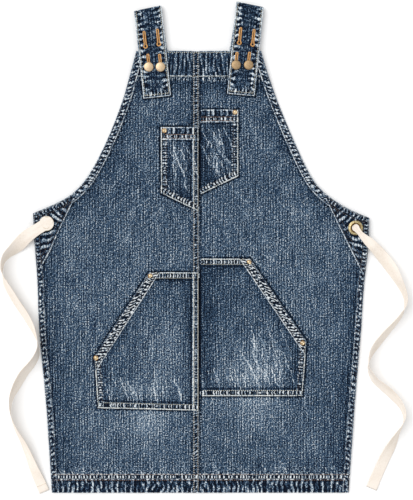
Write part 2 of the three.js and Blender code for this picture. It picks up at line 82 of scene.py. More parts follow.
# routes of the two loose ties: x, y, height of the lowest edge, tilt in degrees
LEFT_TIE = [[-266, 50, 12.3, 180], [-278, 42, 12.3, 180], [-297, 30, 12.2, 180],
            [-306, 24, 11.6, 178], [-315, 17, 8, 172], [-326, 6, 3, 160], [-337, -4, 0.5, 138],
            [-348, -14, 0.1, 120], [-355, -26, 0.1, 102], [-357, -39, 0.1, 92], [-355, -52, 0.1, 78],
            [-350, -66, 0.1, 62], [-341, -82, 0.1, 56], [-330, -100, 0.1, 54], [-317, -119, 0.1, 54],
            [-305, -140, 0.1, 60], [-296, -161, 0.1, 76], [-292.5, -178, 0.1, 90],
            [-296, -196, 0.1, 110], [-305, -211, 0.1, 120], [-317, -225, 0.1, 124],
            [-326, -240, 0.1, 124], [-334, -256, 0.1, 116], [-340, -271, 0.1, 102],
            [-342, -288, 0.1, 90], [-340, -306, 0.1, 80], [-331, -329, 0.1, 70],
            [-321, -347, 0.1, 60], [-313, -365, 0.1, 48], [-306, -383, 0.1, 36],
            [-299, -401, 0.1, 24], [-291, -419, 0.1, 10], [-282, -440, 0.1, 0]]
RIGHT_TIE = [[276.8, 34.7, 12.3, 0], [283, 27, 12.4, 0], [289, 20, 12.3, 2], [302, 8, 11.6, 6],
             [309, 1, 11, 8], [316, -6, 7, 14], [329, -21, 2, 24], [342, -39, 0.1, 38],
             [352, -57, 0.1, 56], [361, -75, 0.1, 70], [366, -90, 0.1, 80], [366, -104, 0.1, 90],
             [361, -117, 0.1, 106], [354, -128, 0.1, 112], [345, -139, 0.1, 116],
             [334, -151, 0.1, 121], [324, -163, 0.1, 124], [314, -176, 0.1, 124],
             [306, -189, 0.1, 116], [301, -203, 0.1, 102], [300, -214, 0.1, 90],
             [304, -226, 0.1, 76], [312, -239, 0.1, 66], [324, -249, 0.1, 58], [336, -259, 0.1, 56],
             [347, -270, 0.1, 58], [357, -282, 0.1, 68], [363, -295, 0.1, 79], [364, -306, 0.1, 90],
             [360, -320, 0.1, 104], [352, -334, 0.1, 116], [345, -349, 0.1, 136],
             [338, -363, 0.1, 152], [330, -379, 0.1, 163], [322, -397, 0.1, 171],
             [314, -415, 0.1, 176], [306, -434, 0.1, 180]]

# strap tabs: bottom left, bottom right, top left, top right corner of each front tab
TABS = {"left": [[-104, 266], [-53.6, 271.4], [-120.2, 424.4], [-72.5, 434.3]],
        "right": [[45.5, 275], [96.8, 270.5], [63.5, 441.5], [113, 430.7]]}
STRAP_LEAN = {"left": 6, "right": -6}
TAB_ROWS = 90              # rows of points up a front tab
# a strap's back leg: its heading at the fold (degrees), how far each end of its curve reaches,
# where it stops beside the other side's grommet, and how steeply it falls there
LEG_HEADING, LEG_START, LEG_END = 5, 260, 160
LEG_STOP, LEG_FALL = (50, 12.5), 0.25
# a corner patch's inner edge, and the corners of each pocket, clockwise from the top left one
PATCH_EDGE = {"left": [[-227, 88], [-254, 31], [-272, -8.6], [-289, -38]],
              "right": [[223, 87], [250, 31], [268, -5], [291, -50]]}
POCKETS = {
    "left_chest": [[-72.5, 215.6], [-3.2, 215.6], [-3.2, 63.5], [-72.5, 96.8]],
    "right_chest": [[-2.3, 247], [66.7, 247], [66.7, 127.4], [-2.3, 94]],
    "left_hand": [[-94, -45], [-3.2, -45], [-3.2, -293.9], [-185.9, -289.4], [-192.2, -196.7]],
    "right_hand": [[-2.3, -20.3], [88.3, -20.3], [189.5, -168.8], [182.3, -267.8], [-2.3, -267.8]],
}
SLANT_BANDS = {             # the outer and the inner edge of each
    "left": ([[-94, -45], [-192.2, -196.7], [-190.4, -224]],
             [[-74, -45], [-186.5, -219], [-190.4, -224]]),
    "right": ([[88.3, -20.3], [189.5, -168.8], [187.7, -195]],
              [[67.7, -20.3], [183.6, -190], [187.7, -195]]),
}


# ---- camera, light and table ----
def placed(name, data):
    made = bpy.data.objects.new(name, data)
    bpy.context.scene.collection.objects.link(made)
    return made


def studio():
    scene = bpy.context.scene
    scene.view_settings.view_transform = "Standard"
    camera = placed("camera", bpy.data.cameras.new("camera"))
    camera.data.lens = 100
    camera.data.clip_end = 20
    camera.location = (0.0095, -0.005, 2.5)
    scene.camera = camera
    sun = placed("key", bpy.data.lights.new("key", "SUN"))
    sun.data.energy = 1.5
    sun.data.angle = math.radians(50)
    sun.rotation_euler = Vector((0.62, -0.42, -1.0)).to_track_quat("-Z", "Y").to_euler()
    scene.world = bpy.data.worlds.new("studio")
    scene.world.use_nodes = True
    sky = scene.world.node_tree.nodes["Background"].inputs
    sky["Color"].default_value = (1, 1, 1, 1)
    sky["Strength"].default_value = 0.80
    bpy.ops.mesh.primitive_plane_add(size=60, location=(0, 0, -0.0006))
    table = bpy.context.object
    table.name = "table"
    table.data.materials.append(Net("table_top").finished((0.95, 0.95, 0.95, 1), 0.8))


# ---- materials ----
def srgb(r, g, b):
    """A colour given as 0 to 255, in linear light."""
    return tuple(((c / 255 + 0.055) / 1.055) ** 2.4 if c > 10 else c / 255 / 12.92
                 for c in (r, g, b)) + (1.0,)


class Value:
    """The number that a node gives, for sums and products with numbers and other values."""

    def __init__(self, net, socket):
        self.net, self.socket = net, socket

    def __add__(self, other):
        return self.net.math("ADD", self, other)

    def __sub__(self, other):
        return self.net.math("SUBTRACT", self, other)

    def __mul__(self, other):
        return self.net.math("MULTIPLY", self, other)

    def between(self, low, high):
        return self.net.math("MINIMUM", self.net.math("MAXIMUM", self, low), high)


class Net:
    """A material's node network, with short words for building it."""

    def __init__(self, name):
        self.material = bpy.data.materials.new(name)
        self.material.use_nodes = True
        self.material["slot"] = name
        self.tree = self.material.node_tree

    def node(self, kind, inputs, output=0, **settings):
        """A new node with its inputs set or linked, and the value that it gives."""
        made = self.tree.nodes.new("ShaderNode" + kind)
        for key, value in settings.items():
            setattr(made, key, value)
        self.fill(made, inputs)
        return Value(self, made.outputs[output])

    def fill(self, node, inputs):
        for key, value in inputs.items():
            if isinstance(value, Value):
                self.tree.links.new(value.socket, node.inputs[key])
            else:
                node.inputs[key].default_value = value

    def math(self, operation, a, b=0.0):
        return self.node("Math", {0: a, 1: b}, operation=operation)

    def stretched(self, vector, scale):
        return self.node("VectorMath", {0: vector, 1: (*scale, 1)}, operation="MULTIPLY")

    def part(self, vector, number):
        return self.node("SeparateXYZ", {0: vector}, number)

    def noise(self, vector, scale, detail=2.0, roughness=0.5):
        return self.node("TexNoise", {"Vector": self.stretched(vector, scale), "Scale": 1.0,
                                      "Detail": detail, "Roughness": roughness}, "Fac",
                         noise_dimensions="2D")

    def ribs(self, vector, scale, distortion, detail):
        return self.node("TexWave", {"Vector": vector, "Scale": scale, "Distortion": distortion,
                                     "Detail": detail}, "Fac", bands_direction="DIAGONAL")

    def attribute(self, name):
        return self.node("Attribute", {}, "Fac", attribute_name=name)

    def uv(self, name):
        return self.node("UVMap", {}, "UV", uv_map=name)

    def mark(self, name):
        """A soft line that the mesh describes by how many widths away it is and how strong."""
        away = self.math("POWER", self.math("ABSOLUTE", self.attribute(name)), 2.0)
        return self.math("EXPONENT", away * -1.0) * self.attribute(f"{name}_strength")

    def ramp(self, value, stops):
        colour = self.node("ValToRGB", {"Fac": value}, "Color")
        elements = colour.socket.node.color_ramp.elements
        while len(elements) < len(stops):
            elements.new(0.5)
        for element, (place, shade) in zip(elements, stops):
            element.position = place
            element.color = shade
        return colour

    def finished(self, colour, roughness, specular=0.5, metallic=0.0, relief=None, bump=(1.0, 0.0)):
        """The material, with a relief that stands up by a share of a distance in metres."""
        shader = self.tree.nodes["Principled BSDF"]
        self.fill(shader, {"Base Color": colour, "Roughness": roughness, "Specular IOR Level": specular,
                           "Metallic": metallic})
        if relief:
            normal = self.node("Bump", {"Strength": bump[0], "Distance": bump[1],
                                        "Height": relief}, "Normal")
            self.fill(shader, {"Normal": normal})
        return self.material


INDIGO = [(0.0, srgb(7, 14, 27)), (0.22, srgb(27, 46, 68)), (0.42, srgb(52, 77, 104)),
          (0.60, srgb(91, 113, 134)), (0.78, srgb(152, 169, 182)), (1.0, srgb(226, 231, 233))]
# the tape's darkest stop shows the painted tan shade on a tie's head
NATURAL = [(0.0, srgb(176, 150, 120)), (0.25, srgb(226, 214, 199)), (0.5, srgb(240, 230, 219)),
           (0.8, srgb(248, 241, 233))]


def denim_material(name, base, slub=0.68):
    """Indigo twill: short weft grain, long warp slubs and twill lines, roped and worn beside seams.
    The mesh says where a seam is ("seam" UVs), how strongly it pulls ("near"), what is rubbed pale, and
    where it is darker, partly as worn tone and partly as painted shadow lines and painted shade."""
    net = Net(name)
    uv, seam = net.uv("cloth"), net.uv("seam")
    leaning = net.node("CombineXYZ", {0: net.part(uv, 0) + net.part(uv, 1) * 0.5, 1: net.part(uv, 1)})
    fine = net.noise(leaning, (620, 430), 1.0, 0.6) - 0.5
    long_slub = net.noise(uv, (560, 24)) - 0.5
    wander = net.noise(uv, (40, 7), 1.0) * 7.0
    warp = net.math("SINE", net.part(uv, 0) * (TURN / (WARP_PITCH * MM)) + wander)
    cloud = net.noise(uv, (45, 30)) - 0.5
    twill = net.ribs(net.stretched(uv, (1, 1.35)), 190, 1.2, 1.0) - 0.5
    drift = net.noise(seam, (70, 60), 1.0) * 9.0
    teeth = net.math("SINE", net.part(seam, 0) * (TURN / (ROPE_PITCH * MM)) + drift)
    roping = (net.noise(seam, (300, 105), 2.0, 0.55) - 0.5) * 3.0 + teeth * 0.5
    pull = roping.between(-0.42, 0.72) * net.attribute("near")
    pale, dark = net.mark("pale"), net.mark("dark")
    tone = fine * 2.16 + long_slub * slub + warp * 0.12 + cloud * 0.18 + twill * 0.10 + base
    tone = tone + pull + net.attribute("fade") + pale + dark
    relief = fine * 0.5 + twill * 0.4 + pull + pale
    return net.finished(net.ramp(tone, INDIGO), 0.92, 0.08, relief=relief, bump=(0.6, 0.0006))


def tape_material():
    """Unbleached cotton tape: fine slanting ribs over soft fibre."""
    net = Net("cotton_tape")
    uv = net.uv("cloth")
    ribs = net.ribs(uv, 260, 0.6, 2.0)
    fibre = net.noise(uv, (900, 260), 3.0, 0.6)
    # the mesh's attribute adds painted tan shade on a tie's head
    tone = (fibre + net.noise(uv, (60, 18))) * 0.5 + net.attribute("fade")
    return net.finished(net.ramp(tone, NATURAL), 0.9, 0.2, relief=ribs + fibre, bump=(0.4, 0.0003))


def thread_material(name, dark, light):
    net = Net(name)
    twist = net.noise(net.node("TexCoord", {}, "Object"), (700, 700), 2.0, 0.6)
    return net.finished(net.ramp(twist, [(0.3, srgb(*dark)), (0.7, srgb(*light))]), 0.7)


def brass_material(name, dark, light, roughness):
    """Brushed brass with faint tarnish, and painted shade where the mesh's "shade" says so."""
    net = Net(name)
    tarnish = net.noise(net.node("TexCoord", {}, "Object"), (420, 420), 4.0, 0.6)
    colour = net.ramp(tarnish + net.attribute("shade"), [(0.3, srgb(*dark)), (0.62, srgb(*light))])
    return net.finished(colour, tarnish * 0.22 + roughness, metallic=1.0)


# ---- noise and lines ----
class Noise:
    """Smooth seeded noise on a plane, from -1 to 1."""

    SIZE = 256

    def __init__(self, seed):
        self.values = np.random.default_rng(seed).uniform(-1, 1, (self.SIZE, self.SIZE))

    def __call__(self, u, v):
        u, v = np.broadcast_arrays(np.asarray(u, float), np.asarray(v, float))
        left, foot = np.floor(u).astype(int), np.floor(v).astype(int)
        across, up = (t * t * (3 - 2 * t) for t in (u - left, v - foot))
        low, high = (self.values[left % self.SIZE, row % self.SIZE] * (1 - across)
                     + self.values[(left + 1) % self.SIZE, row % self.SIZE] * across
                     for row in (foot, foot + 1))
        return low * (1 - up) + high * up


rough_noise, soft_noise, seam_noise = Noise(11), Noise(23), Noise(37)


def smoothstep(value, low, high):
    t = np.clip((value - low) / (high - low), 0, 1)
    return t * t * (3 - 2 * t)


def unit(vectors):
    return vectors / np.linalg.norm(vectors, axis=-1, keepdims=True)


def lengths(line):
    """How far along a line each of its points is."""
    return np.concatenate([[0], np.cumsum(np.linalg.norm(np.diff(line, axis=0), axis=1))])


def points_at(line, places):
    """The points of a line at some lengths along it."""
    line = np.asarray(line, float)
    along = lengths(line)
    return np.stack([np.interp(places, along, line[:, k]) for k in range(line.shape[1])], -1)


def split_into(line, count):
    return points_at(line, np.linspace(0, lengths(line)[-1], count))


def resample(line, step):
    """The same line with points evenly spaced, about step apart."""
    return split_into(line, max(2, round(lengths(line)[-1] / step) + 1))


def trimmed(line, start, end):
    """The line without its first and last stretch."""
    last = lengths(line)[-1] - end
    return points_at(line, np.linspace(start, last, max(2, int((last - start) / 1.5))))


def shifted(line, distance):
    """A plan line moved sideways, to the left of its travel for a positive distance."""
    line = np.asarray(line, float)
    tangent = unit(np.gradient(line, axis=0))
    return line + distance * np.stack([-tangent[:, 1], tangent[:, 0]], 1)


def inwards(side, line, distance):
    """A falling outline moved towards the apron's middle."""
    return shifted(line, -SIGN[side] * distance)


def beside(line, x, y):
    """Distance of each point from a line, above 0 on the left of its travel, and how far along it."""
    step, batch = 1.5, 4000
    line = resample(line, step)
    along = lengths(line)
    tangent = unit(np.gradient(line, axis=0))
    px, py = x.ravel(), y.ravel()
    distance, place = np.empty(px.size), np.empty(px.size)
    for start in range(0, px.size, batch):
        part = slice(start, start + batch)
        squared = (px[part, None] - line[:, 0]) ** 2 + (py[part, None] - line[:, 1]) ** 2
        best = squared.argmin(1)
        dx, dy = px[part] - line[best, 0], py[part] - line[best, 1]
        sideways = tangent[best, 0] * dy - tangent[best, 1] * dx
        past = np.maximum(0, np.abs(tangent[best, 0] * dx + tangent[best, 1] * dy) - step / 2)
        distance[part] = np.hypot(sideways, past) * np.where(sideways < 0, -1, 1)
        place[part] = along[best]
    return distance.reshape(x.shape), place.reshape(x.shape)


def nearest(line, x, y):
    """Distance of each point from a line, and how far along the line its nearest point is."""
    away, along = beside(line, x, y)
    return np.abs(away), along


def close_to(line, x, y, reach):
    """Which points are within reach of a line's own box."""
    low, high = np.min(line, axis=0) - reach, np.max(line, axis=0) + reach
    return (x > low[0]) & (x < high[0]) & (y > low[1]) & (y < high[1])


def catmull(points, t, centripetal=True):
    """A Catmull-Rom spline through rows of numbers, and its slope, with t from 0 to 1."""
    points = np.asarray(points, float)
    ends = np.concatenate([[2 * points[0] - points[1]], points, [2 * points[-1] - points[-2]]])
    place = np.asarray(t) * (len(points) - 1)
    first = np.minimum(place.astype(int), len(points) - 2)
    w = (place - first)[:, None]
    p0, p1, p2, p3 = (ends[first + k] for k in range(4))
    if centripetal:
        d0, d1, d2 = (np.linalg.norm(b - a, axis=1)[:, None] ** 0.5
                      for a, b in ((p0, p1), (p1, p2), (p2, p3)))
        m1 = ((p1 - p0) / d0 - (p2 - p0) / (d0 + d1) + (p2 - p1) / d1) * d1
        m2 = ((p2 - p1) / d1 - (p3 - p1) / (d1 + d2) + (p3 - p2) / d2) * d1
    else:
        m1, m2 = (p2 - p0) / 2, (p3 - p1) / 2
    c2, c3 = -3 * p1 + 3 * p2 - 2 * m1 - m2, 2 * p1 - 2 * p2 + m1 + m2
    return p1 + w * (m1 + w * (c2 + w * c3)), m1 + w * (2 * c2 + 3 * w * c3)


def area_of(outline):
    x, y = np.transpose(outline)
    return abs(np.sum(x * np.roll(y, -1) - y * np.roll(x, -1))) / 2


# ---- places from the frame ----
def box_mm(name):
    low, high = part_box(name)
    return np.array(low) / MM, np.array(high) / MM


def centre_of(name):
    return sum(box_mm(name)) / 2


def edge_line(names, top, bottom, outermost):
    """The outermost x, the least or the most, of some nodes at falling levels."""
    ends = []
    for name in names:
        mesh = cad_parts[name].data
        points = np.array([v.co[:2] for v in mesh.vertices]) / MM
        ends.append(points[np.array([e.vertices[:] for e in mesh.edges])])
    ends = np.concatenate(ends)
    (x0, y0), (x1, y1) = ends[:, 0].T, ends[:, 1].T
    line = []
    for y in np.linspace(top, bottom, int(top - bottom)):
        hit = (np.minimum(y0, y1) <= y) & (np.maximum(y0, y1) >= y) & (np.abs(y1 - y0) > 1e-6)
        if hit.any():
            x = x0[hit] + (x1[hit] - x0[hit]) * (y - y0[hit]) / (y1[hit] - y0[hit])
            line.append([outermost(x), y])
    return np.array(line)


(SEAM_LEFT, _, _), (SEAM_RIGHT, BIB_TOP, _) = box_mm("centre_seam")
(_, HEM_END, _), (_, HEM_TOP, _) = box_mm("bottom_hem")
FACING_LINE = box_mm("left_bib_facing")[0][1]
SEAM_EDGE = {"left": SEAM_LEFT, "right": SEAM_RIGHT}
GROMMETS = {side: centre_of(f"{side}_grommet") for side in SIGN}

ARM, FLANK, OUTLINE = {}, {}, {}
for side, outermost in (("left", np.min), ("right", np.max)):
    waist = box_mm(f"{side}_side_hem")[1][1]
    ARM[side] = resample(edge_line([f"{side}_armhole_binding"], BIB_TOP - 0.05, waist + 0.4, outermost), 2)
    FLANK[side] = resample(edge_line([f"{side}_side_hem", "bottom_hem"], waist - 0.2, HEM_END + 0.05,
                                     outermost), 2)
    OUTLINE[side] = np.concatenate([ARM[side], FLANK[side]])


def outline_x(side, y, inset=0.0):
    """The outline's x at a height, or that of the outline moved inwards."""
    line = np.concatenate([inwards(side, part[side], inset) for part in (ARM, FLANK)])
    line = line[np.argsort(line[:, 1])]
    return np.interp(y, line[:, 1], line[:, 0])


def level(y, inset=0.0, count=300):
    """A line across the apron at a height y, from outline to outline."""
    left, right = (outline_x(side, y) - SIGN[side] * inset for side in SIGN)
    return np.column_stack([np.linspace(left, right, count), np.full(count, float(y))])


def upright(x, top, bottom):
    return np.array([[x, top], [x, bottom]])


def strap_leg(side):
    """Centre line of a strap's back leg: from its fold, down and across to the other grommet."""
    _, _, top_left, top_right = np.array(TABS[side], float)
    across = unit(top_right - top_left)
    fold = (top_left + top_right) / 2 - 5 * np.array([-across[1], across[0]])
    lean = np.sign(STRAP_LEAN[side])
    heading = math.radians(LEG_HEADING) * lean
    target = GROMMETS[OTHER[side]]
    end = np.array([target[0] - LEG_STOP[0] * lean, target[1] + LEG_STOP[1]])
    p1 = fold + LEG_START * np.array([math.sin(heading), -math.cos(heading)])
    p2 = end - LEG_END * unit(np.array([lean, -LEG_FALL]))
    t = np.linspace(0, 1, 90)[:, None]
    return (1 - t) ** 3 * fold + 3 * t * (1 - t) ** 2 * p1 + 3 * t * t * (1 - t) * p2 + t ** 3 * end


LEGS = {side: strap_leg(side) for side in SIGN}


def ground(x, y):
    """Height of the cloth's underside: it lies on the crossed straps and sinks beside them."""
    away = np.full(x.shape, np.inf)
    for side, centre in GROMMETS.items():
        away = np.minimum(away, nearest(LEGS[side][::4], x, y)[0])
        away = np.minimum(away, np.hypot(x - centre[0], y - centre[1]) + 12)
    held = 1 - smoothstep(away, *SINK)
    ripple = 0.5 * soft_noise(x / 70 + 9, y / 110) + 0.3 * soft_noise(x / 31, y / 47)
    return np.maximum(UPPER * held, 0.3 + np.maximum(0, 0.4 + ripple))


# ---- meshes ----
def mesh_object(name, points, faces, material, body="apron"):
    """A smooth mesh from points (mm) and faces, all with the same number of corners."""
    mesh = bpy.data.meshes.new(name)
    mesh.vertices.add(len(points))
    mesh.vertices.foreach_set("co", (points * MM).astype(np.float32).ravel())
    mesh.loops.add(faces.size)
    mesh.loops.foreach_set("vertex_index", faces.astype(np.int32).ravel())
    mesh.polygons.add(len(faces))
    mesh.polygons.foreach_set("loop_start", np.arange(0, faces.size, faces.shape[1], dtype=np.int32))
    mesh.polygons.foreach_set("use_smooth", np.full(len(faces), True))
    mesh.update(calc_edges=True)
    mesh.materials.append(material)
    made = placed(name, mesh)
    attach(made, body)
    return made


def write(mesh, label, values):
    attribute = mesh.attributes.new(label, "FLOAT", "POINT")
    attribute.data.foreach_set("value", values.astype(np.float32).ravel())


def stand_in(made, slot, *nodes):
    """Hides the CAD nodes that a piece stands for, and gives the piece back; slot is not used."""
    if nodes:
        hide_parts(*nodes)
    return made


def sheet(area=None):
    """Takes a sheet's area in square millimetres, works it out in square metres and keeps nothing."""
    None if area is None else area * MM * MM


def grid_faces(index):
    a, b, c, d = index[:-1, :-1], index[:-1, 1:], index[1:, 1:], index[1:, :-1]
    return np.stack((a, b, c, d), -1).reshape(-1, 4)


tops = []                  # the upper faces of all cloth, for threads to lie on


def shell(name, top, bottom, uv, material, body="apron", fade=0.0, pale=(FAR, 0), dark=(FAR, 0), pull=None):
    """A closed sheet from two grids of points. Their borders meet halfway, as a rounded edge. Pale and
    dark say how many widths away the nearest such mark is, and its strength."""
    rows, cols = top.shape[:2]
    edge = np.ones((rows, cols), bool)
    edge[1:-1, 1:-1] = False
    top = np.where(edge[..., None], (top + bottom) / 2, top)
    over = np.arange(rows * cols).reshape(rows, cols)
    under = over.copy()
    under[~edge] = rows * cols + np.arange((~edge).sum())
    r, c = rows // 2, cols // 2
    facing = np.cross(top[r, c + 1] - top[r, c - 1], top[r + 1, c] - top[r - 1, c])
    upper, lower = grid_faces(over), grid_faces(under)
    if np.dot(facing, top[r, c] - bottom[r, c]) > 0:
        lower = lower[:, ::-1]
    else:
        upper = upper[:, ::-1]
    faces = np.concatenate([upper, lower])
    points = np.concatenate([top.reshape(-1, 3), bottom[~edge]])
    made = mesh_object(name, points, faces, material, body)

    def spread(values):
        grid = np.broadcast_to(values, (rows, cols))
        return np.concatenate([grid.ravel(), grid[~edge]])

    place, near = ((0, 0), 0.0) if pull is None else (np.moveaxis(pull[0], -1, 0), pull[1])
    for label, (u, v) in (("cloth", np.moveaxis(uv, -1, 0)), ("seam", place)):
        layer = made.data.uv_layers.new(name=label)
        corners = np.stack([spread(u), spread(v)], -1)[faces.ravel()] * MM
        layer.data.foreach_set("uv", corners.astype(np.float32).ravel())
    for label, values in (("fade", fade), ("near", near), ("pale", pale[0]), ("pale_strength", pale[1]),
                          ("dark", dark[0]), ("dark_strength", dark[1])):
        write(made.data, label, spread(values))
    if body == "apron":
        tops.append((points[:rows * cols], upper))
    return made


def steps(width, step):
    """Places across a strip, as shares of its width, with a close pair at each edge."""
    inner = np.linspace(LIP, width - LIP, max(3, round(width / step)))
    return np.concatenate([[0], inner, [width]]) / width


def with_lips(line):
    """Adds a point just inside each end of a line, for a rounded end."""
    line = np.asarray(line, float)
    first = line[0] + LIP * unit(line[1] - line[0])
    last = line[-1] + LIP * unit(line[-2] - line[-1])
    return np.concatenate([line[:1], [first], line[1:-1], [last], line[-1:]])


def plan_between(left, right, step):
    """A grid of plan points between two lines with the same number of points, with close borders."""
    left, right = with_lips(left), with_lips(right)
    share = steps(np.linalg.norm(right - left, axis=1).max(), step)[None, :, None]
    return left[:, None] * (1 - share) + right[:, None] * share


def fade_at(x, y):
    """Wear that follows the wearer: pale thighs and pocket fronts, over a faint uneven tone."""
    pale = 0.045 * soft_noise(x / 60, y / 90 + 4)
    for strength, place, size in ((0.18, (-93, -308), (44, 58)), (0.21, (90, -250), (50, 72)),
                                  (0.08, (-70, -190), (55, 90))):
        pale += strength * np.exp(-((x - place[0]) / size[0]) ** 2 - ((y - place[1]) / size[1]) ** 2)
    return pale


def seam_pull(x, y, seams):
    """Where rows of stitches pull at the cloth: lengths along and away from the strongest seam, and how
    strongly. Each seam is its line, the roping's pitch, its reach, its strength and its lean."""
    place, near = np.zeros(x.shape + (2,)), np.zeros(x.shape)
    for number, (line, pitch, reach, strength, lean) in enumerate(seams):
        close = close_to(line, x, y, 2.5 * reach)
        away, along = nearest(line, x[close], y[close])
        force = strength * (1 - smoothstep(away, reach * 0.7, reach * 1.25))
        stronger = force > near[close]
        scale = ROPE_PITCH / pitch
        spot = np.stack([(along + lean * away) * scale + 77 * number, away * scale * 1.4 + 31 * number], -1)
        near[close] = np.where(stronger, force, near[close])
        place[close] = np.where(stronger[:, None], spot, place[close])
    return place, near


def relief_of(pull):
    """The puckers themselves, from -1 to 1, where the cloth is pulled."""
    along, away = pull[0][..., 0] / ROPE_PITCH, pull[0][..., 1] / 13
    return pull[1] * np.tanh(1.8 * (seam_noise(along, away) + 0.45 * rough_noise(along * 2.1, away * 2.6)))


def nearest_mark(x, y, lines, sign):
    """How many widths away the nearest of some marks is, and its strength. Each mark is a line, a width
    and a strength; those with strengths of the other sign are left out."""
    widths, force = np.full(x.shape, FAR), np.zeros(x.shape)
    for line, width, strength in lines:
        if strength * sign > 0:
            close = close_to(line, x, y, 4 * width + 2)
            away, along = beside(line, x[close], y[close])
            closer = np.abs(away / width) < np.abs(widths[close])
            patchy = strength * (0.85 + 0.35 * rough_noise(along / 3.1, line[0][1]))
            widths[close] = np.where(closer, away / width, widths[close])
            force[close] = np.where(closer, patchy, force[close])
    return np.clip(widths, -FAR, FAR), force


def creases(middle, spread, lean, count, length, strength, seed):
    """Pale worn creases: wandering lines that fall with a lean, scattered round a place."""
    random = np.random.default_rng(seed)
    knots, golden = 14, 0.618
    lines = []
    for number in range(count):
        across = 2 * (number * golden % 1) - 1
        start = np.array(middle) + np.array([across, random.uniform(-1, 1)]) * spread
        reach = length * random.uniform(0.4, 1)
        t = np.linspace(-0.5, 0.5, knots)
        sway = np.cumsum(random.normal(0, 0.03, knots))
        line = np.column_stack([start[0] + (lean * t + sway) * reach, start[1] - t * reach])
        lines.append((line, random.uniform(0.6, 1.1), strength * random.uniform(0.5, 1)))
    return lines


def cloth(name, plan, base, thick, material, seams=(), marks=(), uv=None, relief=0.35, tone=0.0, pull=None):
    """Denim lying at a height above the ground, puckered and worn along its seams. It stands for the CAD
    node whose name its own begins with."""
    x, y = plan[..., 0], plan[..., 1]
    pull = seam_pull(x, y, seams) if pull is None else pull
    low = ground(x, y) + base
    top = low + thick + relief * relief_of(pull)
    made = shell(name, np.stack([x, y, top], -1), np.stack([x, y, low], -1), plan if uv is None else uv,
                 material, fade=fade_at(x, y) + tone, pull=pull,
                 pale=nearest_mark(x, y, marks, 1), dark=nearest_mark(x, y, marks, -1))
    return stand_in(made, material["slot"], name.removesuffix("_cloth"))


# ---- ties ----
def tape(name, centre, across, normal, width, thick, body="apron", gather=0.0, head=0.0):
    """A tape through rows of centres, with its direction across and its upper side. A head (its radius)
    is a disc at the tape's start with a raised rim, and painted tan shade inside the rim."""
    along = lengths(centre)
    share = steps(TAPE_WIDTH, 1.6)[None, :, None]
    side = (share - 0.5) * width[:, None, None]
    gathered = gather * (1 - width / TAPE_WIDTH) * (1 - smoothstep(along, 60, 130))
    fold = gathered[:, None, None] * np.sin(share * 5 * math.pi)
    middle = centre[:, None] + across[:, None] * side + normal[:, None] * fold
    half = normal[:, None] * thick[:, None, None] / 2
    uv = np.stack(np.broadcast_arrays(share[..., 0] * TAPE_WIDTH, along[:, None]), -1)
    fade, rim = np.zeros(uv.shape[:2]), np.zeros(uv.shape[:2])
    if head:
        sideways, onwards = side[..., 0], along[:, None] - head
        inside = head - np.hypot(sideways, onwards)
        turn = np.cos(np.arctan2(sideways, -onwards) + math.radians(125))
        rim = 0.7 * np.exp(-((1.6 - inside) / 1.1) ** 2) * (onwards < head * 0.6)
        # painted shade: a tan crescent inside the head's rim and a tan spot at its edge
        fade = -0.42 * np.exp(-((3.6 - inside) / 0.8) ** 2) * smoothstep(turn, 0.55, 0.9)
        fade -= 0.5 * np.exp(-(1.4 - inside) ** 2) * smoothstep(-turn, 0.93, 0.99)
    made = shell(name, middle + half + rim[..., None] * UP, middle - half, uv, COTTON, body, fade=fade)
    return stand_in(made, "cotton_tape", name.removesuffix("_cloth"))


def tie(name, route, head, gathered, lead=0.0):
    """A loose waist tie, twisting along its route, with a folded and sewn end. It starts with a round
    head, given by its radius; gathered says how wide the tape is at some lengths from the head's middle,
    and lead is how far the head's middle lies from where the head begins before the route does."""
    knots = len(route) - 1
    # points are closer together over the first two knots, where the tape is narrow
    t = np.concatenate([np.arange(0, 2, 0.05), np.linspace(2, knots, 310)]) / knots
    route = np.array(route)
    plan, tangent = catmull(route[:, :2], t)
    twist, _ = catmull(route[:, 2:], t, False)
    if lead:
        count = 12
        back = np.linspace(lead, 0, count, endpoint=False)[:, None]
        plan = np.concatenate([plan[0] - back * unit(tangent[0]), plan])
        tangent, twist = (np.concatenate([np.tile(rows[0], (count, 1)), rows]) for rows in (tangent, twist))
    onwards = lengths(plan) - head
    width = np.interp(onwards, *np.transpose(gathered)) * (onwards > 0)
    width = np.maximum(width, 2 * np.sqrt(np.clip(head ** 2 - onwards ** 2, 0.04, None)))
    flat = unit(np.column_stack([-tangent[:, 1], tangent[:, 0], np.zeros(len(tangent))]))
    sine, cosine = (turn(np.radians(twist[:, 1:])) for turn in (np.sin, np.cos))
    across, normal = flat * cosine + UP * sine, UP * cosine - flat * sine
    rise = (width[:, None] * np.abs(sine) + TAPE * np.abs(cosine)) / 2
    centre = np.column_stack([plan, np.maximum(0.2, twist[:, :1]) + rise])
    left = lengths(centre)[-1] - lengths(centre)
    hem = smoothstep(-left, -15.5, -14.5)
    thick = TAPE * (1 + hem)
    centre[:, 2] += hem * TAPE / 2
    made = tape(name, centre, across, normal, width, thick, name, gather=1.6, head=0.0 if lead else head)
    sewn = np.argmin(np.abs(left - 13))
    ends = np.linspace(-0.46, 0.46, 24)[:, None] * width[sewn]
    line = centre[sewn] + across[sewn] * ends + normal[sewn] * (thick[sewn] / 2 + 0.05)
    seam = threads(f"{name}_hem_stitching", [line], THREADS["HEM"], name, 2.6, normal[sewn])


